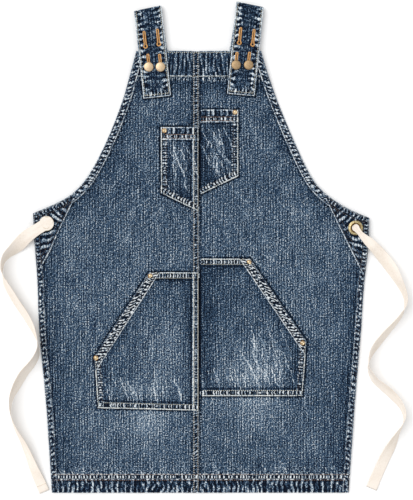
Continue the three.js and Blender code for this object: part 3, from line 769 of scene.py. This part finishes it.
# ---- threads ----
def threads(name, lines, material, body="apron", pitch=STITCH, up=UP):
    """Separate stitches along lines of points (mm): each dips into the cloth at both ends."""
    sides, rings, cover = 6, 5, 0.74
    share = np.linspace(0, 1, rings)
    centres = []
    for line in lines:
        starts = np.arange(0.3, lengths(line)[-1] - pitch * 0.6, pitch)
        centres.append(points_at(line, starts[:, None] + share * pitch * cover))
    ends = np.abs(2 * share - 1)
    centres = np.concatenate(centres) + up * (THREAD * (0.28 - 0.8 * ends ** 4))[:, None]
    sideways = unit(np.cross(unit(centres[:, -1] - centres[:, 0]), up))
    radius = THREAD / 2 * np.sqrt(np.clip(1.02 - ends ** 6, 0.05, 1))
    turn = np.arange(sides)[:, None] * TURN / sides
    ring = sideways[:, None] * np.cos(turn) + up * np.sin(turn)
    points = centres[:, :, None] + ring[:, None] * radius[:, None, None]
    index = np.arange(len(centres) * rings * sides).reshape(-1, rings, sides)
    around = np.roll(index, -1, axis=2)
    faces = np.stack([index[:, :-1], around[:, :-1], around[:, 1:], index[:, 1:]], -1).reshape(-1, 4)
    caps = np.concatenate([index[:, 0, ::-1], index[:, -1]])
    caps = np.concatenate([caps[:, :4], caps[:, [0, 3, 4, 5]]])
    return mesh_object(name, points.reshape(-1, 3), np.concatenate([faces, caps]), material, body)


class Surface:
    """The top of all the cloth laid so far."""

    def __init__(self):
        start = np.cumsum([0] + [len(grid) for grid, _ in tops])
        points = np.concatenate([grid for grid, _ in tops])
        faces = np.concatenate([quads + first for (_, quads), first in zip(tops, start)])
        self.tree = BVHTree.FromPolygons(points.tolist(), faces.tolist())

    def height(self, x, y):
        hit = self.tree.ray_cast(Vector((x, y, 60)), Vector((0, 0, -1)))[0]
        return hit.z if hit else 0.0

    def sew(self, name, lines, thread):
        """Rows of stitches along plan lines laid on the cloth."""
        draped = [resample(line, 1.0) for line in lines]
        draped = [np.column_stack([line, [self.height(x, y) for x, y in line]]) for line in draped]
        threads(f"{name}_stitching", draped, THREADS[thread])


# ---- panels, hems, bindings and seams ----
EDGES = [(0.8, 1.0, 0.55), (-1.0, 1.0, 0.60)]      # pale lines just inside both edges of a band
# the bottom hem's dark lines are painted shadow along its fold's steps, and unworn indigo beside its pale
# worn ridges
HEM_LINES = [(0.9, 1.0, 0.70), (2.6, 0.9, -0.3), (10.6, 1.0, 0.45), (12.8, 1.5, -0.4), (-1.0, 1.0, 0.3)]
HEM_ROWS = level(HEM_TOP), level(HEM_END)
# painted shadow lines on the cloth round the strap tabs that lie on it
TAB_SHADOW_LINES = [([tab[2], tab[0], tab[1], tab[3]], 2.2, -0.5) for tab in TABS.values()]


def panel(side):
    """One layer of denim from the outline to the centre seam, and its area."""
    sign, step = SIGN[side], 2.3
    top, bottom = BIB_TOP - 1, HEM_END + 2
    y = np.linspace(top, bottom, int((top - bottom) / step))
    outer = np.column_stack([outline_x(side, y, 3), y])
    middle = np.column_stack([np.full(len(y), (SEAM_LEFT + SEAM_RIGHT) / 2 + 3 * sign), y])
    plan = plan_between(*((outer, middle) if side == "left" else (middle, outer)), step)
    x, y = plan[..., 0], plan[..., 1]
    pockets = [POCKETS[f"{side}_{kind}"] + POCKETS[f"{side}_{kind}"][:1] for kind in ("chest", "hand")]
    seams = [(inwards(side, ARM[side], BINDING), 4.5, 6, 0.3, 0.7),
             (inwards(side, FLANK[side], SIDE_HEM), 4.5, 5, 0.3, 0.5),
             (HEM_ROWS[0], 4.2, 6, 0.25, 0),
             ([[-130, FACING_LINE], [130, FACING_LINE]], 4.2, 9, 0.9, 0),
             (upright(SEAM_EDGE[side], BIB_TOP, HEM_TOP), 4.5, 4, 0.5, 0.6)]
    seams += [(corners, 4.5, 6, 0.35, 0.4) for corners in pockets]
    # painted shadow lines round the pockets and the strap tabs
    marks = [(corners, 2.6, -0.85) for corners in pockets] + TAB_SHADOW_LINES
    # dark lines beside the binding and side hem: painted shade beside their steps, and unworn indigo;
    # beside the centre seam: painted shadow, deeper on its right
    marks += [(inwards(side, ARM[side], BINDING + 1.6), 2.2, -0.25),
              (inwards(side, FLANK[side], SIDE_HEM + 1.8), 2.4, -0.25),
              (upright(SEAM_RIGHT + 1.2, BIB_TOP, HEM_END), 1.6, -0.55),
              (upright(SEAM_LEFT - 1.6, BIB_TOP, HEM_END), 2.0, -0.22)]
    marks += creases((sign * 150, HEM_TOP + 6), (130, 3), 0.6, 26, 18, 0.4, 12 + sign)
    marks += creases((sign * 130, 0), (120, 330), 0.2, 40, 36, 0.16, 22 + sign)
    marks += creases((sign * 105, 50), (50, 80), sign * 1.1, 12, 38, 0.34, 32 + sign)
    shade = sum(strength * (1 - smoothstep(away, low, high)) for strength, away, low, high in (
        (-0.09, nearest(OUTLINE[side], x, y)[0], 16, 56), (-0.06, y - HEM_TOP, 4, 44),
        (-0.15, FACING_LINE - y, 8, 36)))
    made = cloth(f"{side}_panel_cloth", plan, 0, CLOTH, DENIM, seams, marks, tone=shade)
    return made, area_of(np.concatenate([outer, middle[::-1]]))


def between(outer, inner, place):
    """A line this far (mm) inside the outer one, or, below 0, this far outside the inner one."""
    across = np.linalg.norm(inner - outer, axis=1)[:, None]
    share = place / across if place > 0 else 1 + place / across
    return outer + (inner - outer) * share


def band(name, outer, inner, lines=EDGES, pitch=3.8, strength=1.0, lean=0.8, blocks=1.0, seams=(),
         level_weave=False, even=False, marks=(), base=0.0, thick=BAND, relief=0.45, tone=0.0):
    """A folded and sewn strip between two lines, with pale and dark lines along it. It is roped along its
    middle, in spots that are shorter across the strip for more blocks, or beside its own seams. Its base
    is a height, or a function of x and y that gives one. Even lines already have as many points each."""
    outer, inner = (np.array(line, float) for line in (outer, inner))
    if not even:
        count = int(max(lengths(outer)[-1], lengths(inner)[-1]) / 1.5)
        outer, inner = split_into(outer, count), split_into(inner, count)
    plan = plan_between(outer, inner, 1.3)
    across = np.linalg.norm(plan - plan[:, :1], axis=2)
    along = np.broadcast_to(lengths(plan[:, plan.shape[1] // 2])[:, None], across.shape)
    from_edge = np.minimum(across, across[:, -1:] - across)
    pull = (np.stack([(along + lean * across) * ROPE_PITCH / pitch, across * blocks], -1),
            strength * smoothstep(from_edge, 1.2, 2.6))
    marks = [(between(outer, inner, place), width, force) for place, width, force in lines] + list(marks)
    return cloth(name, plan, base(plan[..., 0], plan[..., 1]) if callable(base) else base, thick, FOLDED,
                 seams, marks, None if level_weave else np.stack([across, along], -1), relief, tone,
                 None if seams else pull)


def facing_row(side, y, share):
    """A level line from the centre seam to inside the armhole binding."""
    ends = sorted([SEAM_EDGE[side], outline_x(side, y) - SIGN[side] * BINDING * share])
    return np.column_stack([np.linspace(*ends, 90), np.full(90, y)])


def body_cloth():
    """The panels with their hems, facings and bindings; returns each panel with its area."""
    panels = {side: panel(side) for side in SIGN}
    for side in SIGN:
        # the facing carries the painted shadow lines round the strap tabs
        band(f"{side}_bib_facing_cloth", facing_row(side, BIB_TOP, 0.9), facing_row(side, FACING_LINE, 1.0),
             [(0.8, 1.0, 0.5), (-1.6, 1.1, 0.85)], pitch=7.5, strength=0.62, lean=0, blocks=0.45,
             level_weave=True, marks=TAB_SHADOW_LINES, base=0.1, tone=-0.14)
    band("centre_seam_cloth", *(upright(x, BIB_TOP - 0.5, HEM_END + 1) for x in (SEAM_LEFT, SEAM_RIGHT)),
         [(1.4, 1.2, 0.26), (-1.0, 1.0, 0.62), (-3.0, 0.8, -0.25)], pitch=5.0, strength=0.85, lean=0.3,
         thick=BAND + 0.1, tone=-0.22)
    band("bottom_hem_cloth", *HEM_ROWS, HEM_LINES, level_weave=True, base=0.1, tone=-0.15,
         seams=[(between(*HEM_ROWS, 6.2), 5.3, 3.3, 1.8, 0), (between(*HEM_ROWS, 11), 9.0, 30, 0.85, 0)])
    for side in SIGN:
        flank, arm = FLANK[side], ARM[side]
        band(f"{side}_side_hem_cloth", flank, inwards(side, flank, SIDE_HEM), pitch=8.0, strength=0.95,
             lean=0.3, blocks=1.7, base=0.2, tone=-0.12)
        band(f"{side}_armhole_binding_cloth", arm, inwards(side, arm, BINDING), pitch=7.4, strength=1.05,
             blocks=1.6, base=0.3, tone=-0.10)
        corner_patch(side)
    return panels


def corner_patch(side):
    """The reinforced corner that the grommet sits in, between the armhole and the side."""
    edge = PATCH_EDGE[side]
    heights = OUTLINE[side][:, 1]
    outline = OUTLINE[side][(heights < edge[0][1] + 4) & (heights > edge[-1][1])]
    outer, inner = inwards(side, split_into(outline, 150), 1.0), split_into(edge, 150)
    plan = plan_between(outer, inner, 1.6)
    x, y = plan[..., 0], plan[..., 1]
    seams = [(inwards(side, outer, 4.5), 6.6, 4.6, 1.1, 0.3), (outer, 10.5, 40, 1.0, 0.4)]
    place, near = seam_pull(x, y, seams)
    pull = (place, near * smoothstep(nearest(edge, x, y)[0], 1.6, 4))
    marks = [(between(outer, inner, place), width, force)
             for place, width, force in ((0.9, 1.0, 0.5), (-1.0, 1.2, 0.95), (-3.2, 1.2, -0.35))]
    marks.append((inwards(side, outer, 9.6), 1.2, -0.5))
    cloth(f"{side}_corner_patch_cloth", plan, BAND + 0.2, CLOTH, FOLDED, marks=marks, relief=0.4, tone=-0.2,
          pull=pull)


# ---- pockets ----
# A hem from its edge inwards (mm): its width, its pale and dark lines (place, width, strength), its
# roping (place of its middle, pitch, reach, strength) and its rows of stitches (place, thread).
# Their dark lines are painted shadow lines beside the hems' raised edges and folds, and unworn indigo
# beside the pale worn ridges.
HEMS = {
    "mouth": (22, [(0.9, 1.1, 0.80), (12.4, 0.8, -0.25), (22, 1.1, 0.95), (24.6, 1.5, -0.4)],
              [(6.5, 9, 5.5, 1.0), (17, 5.6, 3.6, 1.6)], [(13.6, "OCHRE"), (20.2, "OCHRE")]),
    "side": (11, [(0.9, 1.2, 0.98), (3.1, 0.9, -0.35)], [(7, 4.8, 5, 1.2)], [(1.7, "TAN"), (9.5, "RUST")]),
    "foot": (9.5, [(0.9, 1.2, 1.0), (3.1, 0.9, -0.38)], [(6.6, 5.8, 4.5, 1.7)],
             [(1.7, "TAN"), (8.5, "RUST")]),
    "ladder": (12.6, [(0.7, 1.1, -0.60), (11.4, 1.5, 0.80), (14.8, 2.0, -0.42)], [(6, 3.2, 4.4, 0.85)],
               [(2.6, "TAN"), (10.2, "TAN")]),
    "tucked": (3, [(0.8, 1.3, -0.80), (3.4, 0.9, 0.25)], [], []),
    "hand": (13, [(0.9, 1.2, 0.95), (3.1, 1.0, -0.5), (6.6, 3.4, -0.2), (13.6, 1.8, -0.4)],
             [(6.2, 4.6, 4.0, 1.6)], [(1.7, "TAN"), (10.4, "TAN")]),
    "opening": (9, [], [], []),
}


class Pocket:
    """A pocket front: sewn flat along its sides, standing a little open at its mouth. Each of its edges
    is doubled cloth as wide as its hem. Its corners run clockwise from the top left one."""

    def __init__(self, name, mouth, hems, left_corners, tone, worn):
        self.name, self.side = name, name.split("_")[0]
        self.corners = np.array(POCKETS[name])
        self.edges = list(np.stack([self.corners, np.roll(self.corners, -1, axis=0)], 1))
        self.sewn = [edge for k, edge in enumerate(self.edges) if k != mouth]
        self.hems, self.left_corners = [HEMS[hem] for hem in hems], left_corners
        self.tone, self.worn = tone, worn

    def rise(self, x, y):
        """Height of the pocket front's underside above the panel's."""
        away = np.min([nearest(edge, x, y)[0] for edge in self.sewn], axis=0)
        fullness = 2.6 + 0.6 * soft_noise(x / 24, y / 29 + 7)
        doubled = np.max([1 - smoothstep(nearest(edge, x, y)[0], hem[0] - 0.8, hem[0] + 0.8)
                          for edge, hem in zip(self.edges, self.hems)], axis=0)
        over_seam = smoothstep(x, SEAM_LEFT - 4, SEAM_LEFT) if self.side == "left" else 0
        base = CLOTH + 0.1 + (BAND - CLOTH) * over_seam
        return base + fullness * smoothstep(away, 2, 36) + 0.9 * doubled

    def plan(self):
        """Level rows across the pocket, between the corners down its left and down its right."""
        step = 1.4
        lines = (np.roll(self.corners[::-1], 1, axis=0)[:self.left_corners],
                 self.corners[1:len(self.corners) + 1 - self.left_corners])
        share = np.linspace(0, 1, int(max(lengths(line)[-1] for line in lines) / step))
        rows = []
        for line in lines:
            fallen = (line[0, 1] - line[:, 1]) / np.ptp(line[:, 1])
            rows.append(np.column_stack([np.interp(share, fallen, line[:, k]) for k in range(2)]))
        return plan_between(*rows, step)

    def build(self):
        plan = self.plan()
        x, y = plan[..., 0], plan[..., 1]
        away = np.min([nearest(edge, x, y)[0] for edge in self.edges], axis=0)
        seams, marks = [], list(self.worn)
        for k, (_, lines, roping, _) in enumerate(self.hems):
            seams += [(self.inset(k, place), pitch, reach, force, 0.2)
                      for place, pitch, reach, force in roping]
            marks += [(self.inset(k, place), width, force) for place, width, force in lines]
        made = cloth(f"{self.name}_pocket_cloth", plan, self.rise(x, y), CLOTH, DENIM, seams, marks,
                     tone=self.tone - 0.14 * (1 - smoothstep(away, 12, 36)))
        sheet(area_of(self.corners))

    def inset(self, k, distance, start=0.0, end=0.0):
        """Edge k moved into the pocket."""
        return trimmed(shifted(self.edges[k], -distance), start, end)

    def stitching(self, surface):
        """Each hem's rows of stitches; the inner ones stop at the hems they meet."""
        rows = {"TAN": [], "OCHRE": [], "RUST": []}
        for k, hem in enumerate(self.hems):
            beside_it = self.hems[k - 1], self.hems[(k + 1) % len(self.hems)]
            for place, thread in hem[3]:
                ends = (2 if place < 3 or other[0] > 20 else 0.7 * other[0] for other in beside_it)
                rows[thread].append(self.inset(k, place, *ends))
        for thread, lines in rows.items():
            if lines:
                surface.sew(f"{self.name}_{thread.lower()}", lines, thread)


def slant_band(pocket):
    """The folded band along a hand pocket's slanting opening."""
    outer, inner = (split_into(line, 130)[:-1] for line in SLANT_BANDS[pocket.side])
    band(f"{pocket.side}_slant_band_cloth", outer, inner, [(0.9, 1.0, 0.6), (-0.9, 1.0, 1.0)], pitch=6.774,
         strength=2.2, lean=0.4, blocks=2.2, even=True, thick=CLOTH * 1.2, relief=0.4, tone=-0.2,
         base=lambda x, y: pocket.rise(x, y) + CLOTH * 0.5)


# ---- straps ----
def keyhole(half_slot, eye, top):
    """An outline with a round eye at its foot and a narrow slot above, along +Y."""
    count = 14
    meet = math.asin(half_slot / eye)
    turn = np.linspace(TURN / 4 + meet, TURN * 5 / 4 - meet, 3 * count)
    cap = np.linspace(0, math.pi, count)
    foot = np.column_stack([np.cos(turn), np.sin(turn)]) * eye
    head = np.column_stack([np.cos(cap), np.sin(cap)]) * half_slot + [0, top - half_slot]
    return np.concatenate([foot, head])


def leaned(line, place, lean):
    c, s = math.cos(lean), math.sin(lean)
    return line @ np.array([[c, s], [-s, c]]) + place


def strap(side, level_under, holes):
    """A strap: front tab, fold over the top, and back leg running under the apron. Returns the grid of
    points along its middle layer."""
    bottom_left, bottom_right, top_left, top_right = np.array(TABS[side], float)
    across, foot_across = unit(top_right - top_left), unit(bottom_right - bottom_left)
    outwards = np.array([-across[1], across[0]])
    front = UPPER + BAND + STRAP_AIR + STRAP / 2
    radius = (front - level_under) / 2
    fold = (top_left + top_right) / 2 - outwards * (radius + STRAP / 2)
    foot = (bottom_left + bottom_right) / 2
    rows = []                  # a point, the direction across and the upper side, of each row
    for t in np.linspace(0, 1, TAB_ROWS):
        turning = unit(foot_across * (1 - t) + across * t)
        rows.append([*(foot * (1 - t) + fold * t), front, *turning, 0, *UP])
    for turn in np.linspace(0, math.pi, 18)[1:]:
        out = np.array([*(outwards * math.sin(turn)), math.cos(turn)])
        rows.append([*(np.array([*fold, level_under + radius]) + out * radius), *across, 0, *out])
    leg = resample(LEGS[side], 2.5)
    tangent = unit(np.gradient(leg, axis=0))
    for k in range(1, len(leg)):
        turned_by = min(1, 5 * k / len(leg))
        square = np.array([-tangent[k, 1], tangent[k, 0]])
        rows.append([*leg[k], level_under, *unit(across * (1 - turned_by) + square * turned_by), 0, *-UP])
    centre, side_way, normal = np.split(np.array(rows)[:, None], 3, axis=2)
    share = steps(STRAP_WIDTH, 1.4)[None, :, None] - 0.5
    middle = centre + side_way * share * STRAP_WIDTH
    u, v = np.broadcast_arrays(share[..., 0] * STRAP_WIDTH, lengths(centre[:, 0])[:, None])
    from_side = STRAP_WIDTH / 2 - np.abs(u)
    from_edge = np.minimum(from_side, v)
    place = np.where((v < from_side)[..., None], np.stack([u * 0.6 + 300, v], -1),
                     np.stack([v * 0.44 + 40 * np.sign(u), from_side + 50 * level_under], -1))
    near = (0.32 + 0.85 * (1 - smoothstep(from_edge, 8, 17))) * smoothstep(from_edge, 1.4, 2.8)
    # painted shade round each buttonhole on the front tab, where its thread stands up, together with unworn
    # indigo
    shade = sum(-0.28 * np.exp(-((np.linalg.norm(middle[..., :2] - spot, axis=2) / 6) ** 2))
                * (middle[..., 2] > UPPER) for _, _, spot in holes)
    puckers = relief_of((place, near)) + 0.25 * soft_noise(u / 16, v / 12)
    made = shell(f"{side}_strap_cloth", middle + normal * (STRAP / 2 + 0.25 * puckers[..., None]),
                 middle - normal * STRAP / 2, np.stack([u + 40 * level_under, v], -1), STRAP_DENIM,
                 fade=shade, pale=((from_edge - 1.0) / 1.1, 0.85), dark=(from_edge - 3.3, -0.3),
                 pull=(place, near))
    cut_holes(made, holes, math.radians(STRAP_LEAN[side]))
    stand_in(made, "strap_denim", f"{side}_strap")
    sheet()
    return middle


def cut_holes(strap_cloth, holes, lean):
    """Cuts the buttonholes right through the strap's front."""
    points, faces = [], []
    for _, kind, spot in holes:
        plan = leaned(keyhole(0.8, EYE_RADIUS, HOLE_SIZES[kind] - BAR), spot, lean)
        n, start = len(plan), len(points)
        ring = np.arange(n)
        after = np.roll(ring, -1)
        points += [[*p, z] for z in (UPPER + BAND - 0.6, UPPER + BAND + 6) for p in plan]
        sides = np.stack([ring, after, after + n, ring + n], -1)
        faces += [(start + face).tolist() for face in (ring[::-1], ring + n, *sides)]
    mesh = bpy.data.meshes.new("cutter")
    mesh.from_pydata((np.array(points) * MM).tolist(), [], faces)
    cutter = placed("cutter", mesh)
    change = strap_cloth.modifiers.new("holes", "BOOLEAN")
    change.object = cutter
    change.solver = "EXACT"
    bpy.context.view_layer.update()
    graph = bpy.context.evaluated_depsgraph_get()
    cut = bpy.data.meshes.new_from_object(strap_cloth.evaluated_get(graph), depsgraph=graph)
    strap_cloth.modifiers.clear()
    strap_cloth.data = cut
    bpy.data.objects.remove(cutter)


def buttonhole(node, kind, spot, lean):
    """Closely sewn stitches of thread round a keyhole."""
    outline = keyhole(BAR, EYE_RADIUS + 0.2, HOLE_SIZES[kind] + 1)
    plan = leaned(resample(np.concatenate([outline, outline[:1]]), 0.72), spot, lean)
    outward = shifted(plan, -BAR) - plan
    height = np.full(3, UPPER + BAND + STRAP_AIR + STRAP + 0.15)
    bars = [np.column_stack([[p - out, p, p + out], height]) for p, out in zip(plan, outward)]
    made = threads(f"{node}_thread", bars, THREADS["HOLE"], pitch=STITCH + 0.05)
    stand_in(made, "buttonhole_thread", node)


def strap_stitching(side, middle):
    """One row of stitches near each edge of the front tab, and one across its foot."""
    inner, foot, top = 3, 3, TAB_ROWS + 2
    face = middle + UP * (STRAP / 2 + 0.1)
    lines = [face[foot:top, inner], face[foot:top, -1 - inner], face[foot, inner:-inner]]
    threads(f"{side}_strap_stitching", lines, THREADS["TAN"])


def waist_tape(strap_side, level_under):
    """The cotton tape at a strap's end, gathered and brought up through the other side's grommet."""
    side, end = OTHER[strap_side], LEGS[strap_side][-1]
    hole = GROMMETS[side][:2]
    reach = np.linalg.norm(hole - end)
    travel = (hole - end) / reach
    # how far back from the hole, how high above the strap's level, and how wide
    stations = np.array([[reach - 1, 0, 22], [28, 0, 20], [12, 0, 11], [6, 0, 8.4], [3.4, 0.8, 8],
                         [1, 3, 8], [0, 5.5, 8], [0, 11.6 - level_under, 8.4]])
    spline, _ = catmull(stations, np.linspace(0, 1, 60), False)
    centre = np.column_stack([hole - travel * spline[:, :1], level_under + spline[:, 1]])
    wide = np.tile([-travel[1], travel[0], 0], (len(centre), 1))
    normal = unit(np.cross(unit(np.gradient(centre, axis=0)), wide))
    made = tape(f"{side}_waist_tape_cloth", centre, wide, normal, spline[:, 2], np.full(len(centre), TAPE),
                gather=1.9)
    sheet()


def strap_side(side, level_under):
    """A strap with its buttonholes, its stitching and the tape at its end."""
    lean = math.radians(STRAP_LEAN[side])
    holes = []
    for kind, size in HOLE_SIZES.items():
        for number in (1, 2):
            node = f"{side}_strap_{kind}_buttonhole_{number}"
            low, high = box_mm(node)
            spot = [(low[0] + high[0]) / 2 + size / 2 * math.sin(lean) * 0.55, low[1] + EYE_RADIUS + BAR]
            holes.append((node, kind, np.array(spot)))
    middle = strap(side, level_under, holes)
    for hole in holes:
        buttonhole(*hole, lean)
    strap_stitching(side, middle)
    waist_tape(side, level_under)


# ---- hardware ----
def turned(name, profile, place, finish, node, body="apron", segments=56, dark=(0, 0)):
    """A turned piece from a half profile of radius and height (mm), with painted shade between two radii.
    """
    profile = np.array(profile, float)
    profile[:, 0] = np.maximum(profile[:, 0], 0.02)
    radius, height = profile[:, :1], np.repeat(profile[:, 1:], segments, 1)
    turn = np.arange(segments) * TURN / segments
    points = np.stack([place[0] + radius * np.cos(turn), place[1] + radius * np.sin(turn), height], -1)
    index = np.arange(height.size).reshape(height.shape)
    index = np.concatenate([index, index[:, :1]], 1)
    made = mesh_object(name, points.reshape(-1, 3), grid_faces(index)[:, ::-1], BRASS[finish], body)
    made.data.set_sharp_from_angle(angle=math.radians(50))
    write(made.data, "shade", np.where((radius >= dark[0]) & (radius <= dark[1]), -0.5, 0 * height))
    stand_in(made, "brass", node)


def arc(centre, radius, start, end, count=8):
    turn = np.radians(np.linspace(start, end, count))
    return np.column_stack([centre[0] + radius * np.cos(turn), centre[1] + radius * np.sin(turn)]).tolist()


def jeans_button(number):
    node = f"button_{number}"
    (_, _, foot), (_, _, top) = box_mm(node)
    x, y, _ = centre_of(node)
    r, pin, sleeve = BUTTON_RADIUS, PIN_RADIUS + 0.4, PIN_RADIUS + 1.2
    profile = [[0, foot + 2.6], [pin, foot + 2.6], [pin, foot], [sleeve, foot], [sleeve, top - 2.4],
               [r - 1.2, top - 2.5], *arc((r - 0.75, top - 1.75), 0.75, -90, 80, 9),
               [r - 1.5, top - 1.02], [r - 1.8, top - 0.86], [r - 2.4, top - 0.72], [3.2, top - 0.42],
               [1.4, top - 0.3], [0, top - 0.28]]
    # the left caps take a brighter copy of the brass and the right caps a darker one, as painted
    # reflections; each cap's rim is darkened as painted shade
    turned(f"{node}_cap", profile, (x, y), "pale" if x < 0 else "painted_dim_reflection", node, node, 72, (r - 0.9, r + 0.1))
    node = f"button_tack_{number}"
    (_, _, foot), (_, _, top) = box_mm(node)
    profile = [[0, foot], *arc((4.1, foot + 0.4), 0.4, -90, 0, 4), [4.5, foot + 0.9],
               [PIN_RADIUS, foot + 0.9], [PIN_RADIUS, top], [0, top]]
    turned(f"{node}_turned", profile, (x, y), "dark", node)


def rivet(node, surface):
    x, y, _ = centre_of(node)
    low, base, r = box_mm(node)[0][2], surface.height(x, y) - 0.25, RIVET_RADIUS
    profile = [[0, low], [PIN_RADIUS, low], [PIN_RADIUS, base], [r - 0.5, base],
               *arc((r - 0.5, base + 0.5), 0.5, -90, 60, 6), [r - 1.7, base + 1.15],
               [r - 2.2, base + 0.75], *arc((0, base + 0.2), 1.5, 40, 90, 6)]
    # its darker rim is painted shade
    turned(f"{node}_cap", profile, (x, y), "rivet", node, dark=(r - 1.0, r))


def grommet(side):
    place, hole, r = GROMMETS[side], HOLE_RADIUS, GROMMET_RADIUS
    (_, _, foot), (_, _, top) = box_mm(f"{side}_grommet")
    flange = top - 1.2
    profile = [[hole, foot], [hole + 0.6, foot], [hole + 0.6, flange], [r - 0.3, flange],
               *arc((r - 0.35, flange + 0.35), 0.35, -90, 70, 5), [r - 1.4, flange + 0.8],
               *arc((hole + 2.1, flange + 0.2), 1.0, 50, 110, 6), *arc((hole + 1.2, flange), 1.2, 100, 180),
               [hole, foot]]
    # its darkened hole and inner lip are painted shade
    turned(f"{side}_grommet_ring", profile, place, "grommet", f"{side}_grommet", dark=(0, hole + 2.4))
    node = f"{side}_grommet_washer"
    (left, _, foot), (right, _, top) = box_mm(node)
    inner, outer = hole + 0.9, (right - left) / 2
    profile = [[inner, foot], [outer - 0.3, foot], [outer, foot + 0.3], [outer, top], [inner, top],
               [inner, foot]]
    turned(f"{node}_ring", profile, place, "dark", node)


# ---- putting it together ----
def outline_stitching(surface):
    for side in SIGN:
        edge = resample(PATCH_EDGE[side], 2)
        lines = [trimmed(inwards(side, ARM[side], d), 4, 4) for d in (2.6, BINDING - 2.4)]
        lines += [trimmed(inwards(side, FLANK[side], d), 3, 3) for d in (2.4, SIDE_HEM - 2.2)]
        lines += [trimmed(inwards(side, edge, d), 4, 4) for d in (-3, -9)]
        surface.sew(f"{side}_edge", lines, "RUST")
    surface.sew("centre_seam", [upright(SEAM_LEFT + d, BIB_TOP - 3, HEM_END + 3) for d in (2.6, 10.0)],
                "CREAM")
    surface.sew("bottom_hem", [trimmed(level(HEM_TOP - d, 3), 2, 2) for d in (1.7, 11.5)], "OCHRE")
    surface.sew("bib_facing", [level(y, BINDING) for y in (FACING_LINE + 1.6, BIB_TOP - 3)], "TAN")


def ties():
    full = TAPE_WIDTH
    tie("left_tie", LEFT_TIE, GROMMET_RADIUS, [(0, 20.5), (20, 20.5), (60, full), (400, full), (500, 19)])
    tie("right_tie", RIGHT_TIE, HOLE_RADIUS - 0.2,
        [(0, 12), (12, 9.4), (34, 17), (74, 22.5), (100, full), (420, full), (510, 20)],
        lead=HOLE_RADIUS - 0.2)


def build():
    studio()
    ties()
    panels = body_cloth()
    worn = creases((125, -195), (34, 40), 0.3, 14, 80, 0.6, 8)
    worn += creases((70, -240), (70, 10), 0.3, 14, 44, 0.55, 9)
    pockets = [
        Pocket("left_chest", 0, ("mouth", "ladder", "foot", "side"), 2, -0.09,
               creases((-37, 142), (18, 34), 0.14, 9, 90, 0.8, 5)),
        Pocket("right_chest", 0, ("mouth", "side", "foot", "tucked"), 2, -0.09,
               creases((30, 168), (26, 38), 0.38, 13, 80, 0.75, 6)),
        Pocket("left_hand", 4, ("hand", "ladder", "hand", "side", "opening"), 3, -0.02,
               creases((-90, -262), (76, 10), 0.3, 16, 44, 0.55, 7)),
        Pocket("right_hand", 1, ("hand", "opening", "side", "hand", "tucked"), 2, -0.02, worn)]
    for pocket in pockets:
        pocket.build()
        if pocket.name.endswith("hand"):
            slant_band(pocket)
    surface = Surface()
    outline_stitching(surface)
    for pocket in pockets:
        pocket.stitching(surface)
    for side in SIGN:
        grommet(side)
        outer, inner = (split_into(line, 130) for line in SLANT_BANDS[side])
        lines = [trimmed(line, 5, 8) for line in (inwards(side, outer, 2.2), inwards(side, inner, -2.2))]
        surface.sew(f"{side}_slant_band", lines, "RUST")
        for spot in ("chest_pocket_rivet", "hand_pocket_top_rivet", "hand_pocket_side_rivet"):
            rivet(f"{side}_{spot}", surface)
    for side, level_under in (("left", STRAP / 2), ("right", STRAP * 1.5 + 0.3)):
        strap_side(side, level_under)
    for number in range(1, 5):
        jeans_button(number)
    for side, (made, area) in panels.items():
        sheet(area)


DENIM = denim_material("denim", 0.325)
FOLDED = denim_material("folded_denim", 0.27)
STRAP_DENIM = denim_material("strap_denim", 0.13, slub=0.96)
COTTON = tape_material()
THREADS = {label: thread_material(f"{name}_thread", dark, light) for label, name, dark, light in (
    ("TAN", "tan", (198, 196, 180), (238, 235, 218)),
    ("OCHRE", "ochre", (120, 92, 74), (182, 146, 118)),
    ("RUST", "rust", (62, 60, 62), (112, 100, 94)),
    ("HEM", "hem", (176, 156, 132), (214, 198, 174)),
    ("CREAM", "cream", (214, 202, 180), (240, 232, 216)),
    ("HOLE", "buttonhole", (170, 116, 62), (234, 186, 122)))}
BRASS = {label: brass_material(name, dark, light, roughness) for label, name, dark, light, roughness in (
    ("rivet", "brass", (150, 118, 82), (244, 228, 190), 0.26),
    ("grommet", "grommet_brass", (128, 100, 62), (206, 194, 150), 0.3),
    # the two button brasses below are lit and shaded copies of one metal: painted reflections
    ("pale", "brass_painted_bright_reflection", (194, 168, 136), (214, 192, 162), 0.34),
    ("painted_dim_reflection", "brass_painted_dim_reflection", (150, 126, 94), (180, 154, 120), 0.4),
    ("dark", "dark_brass", (120, 84, 52), (170, 126, 82), 0.36))}
build()
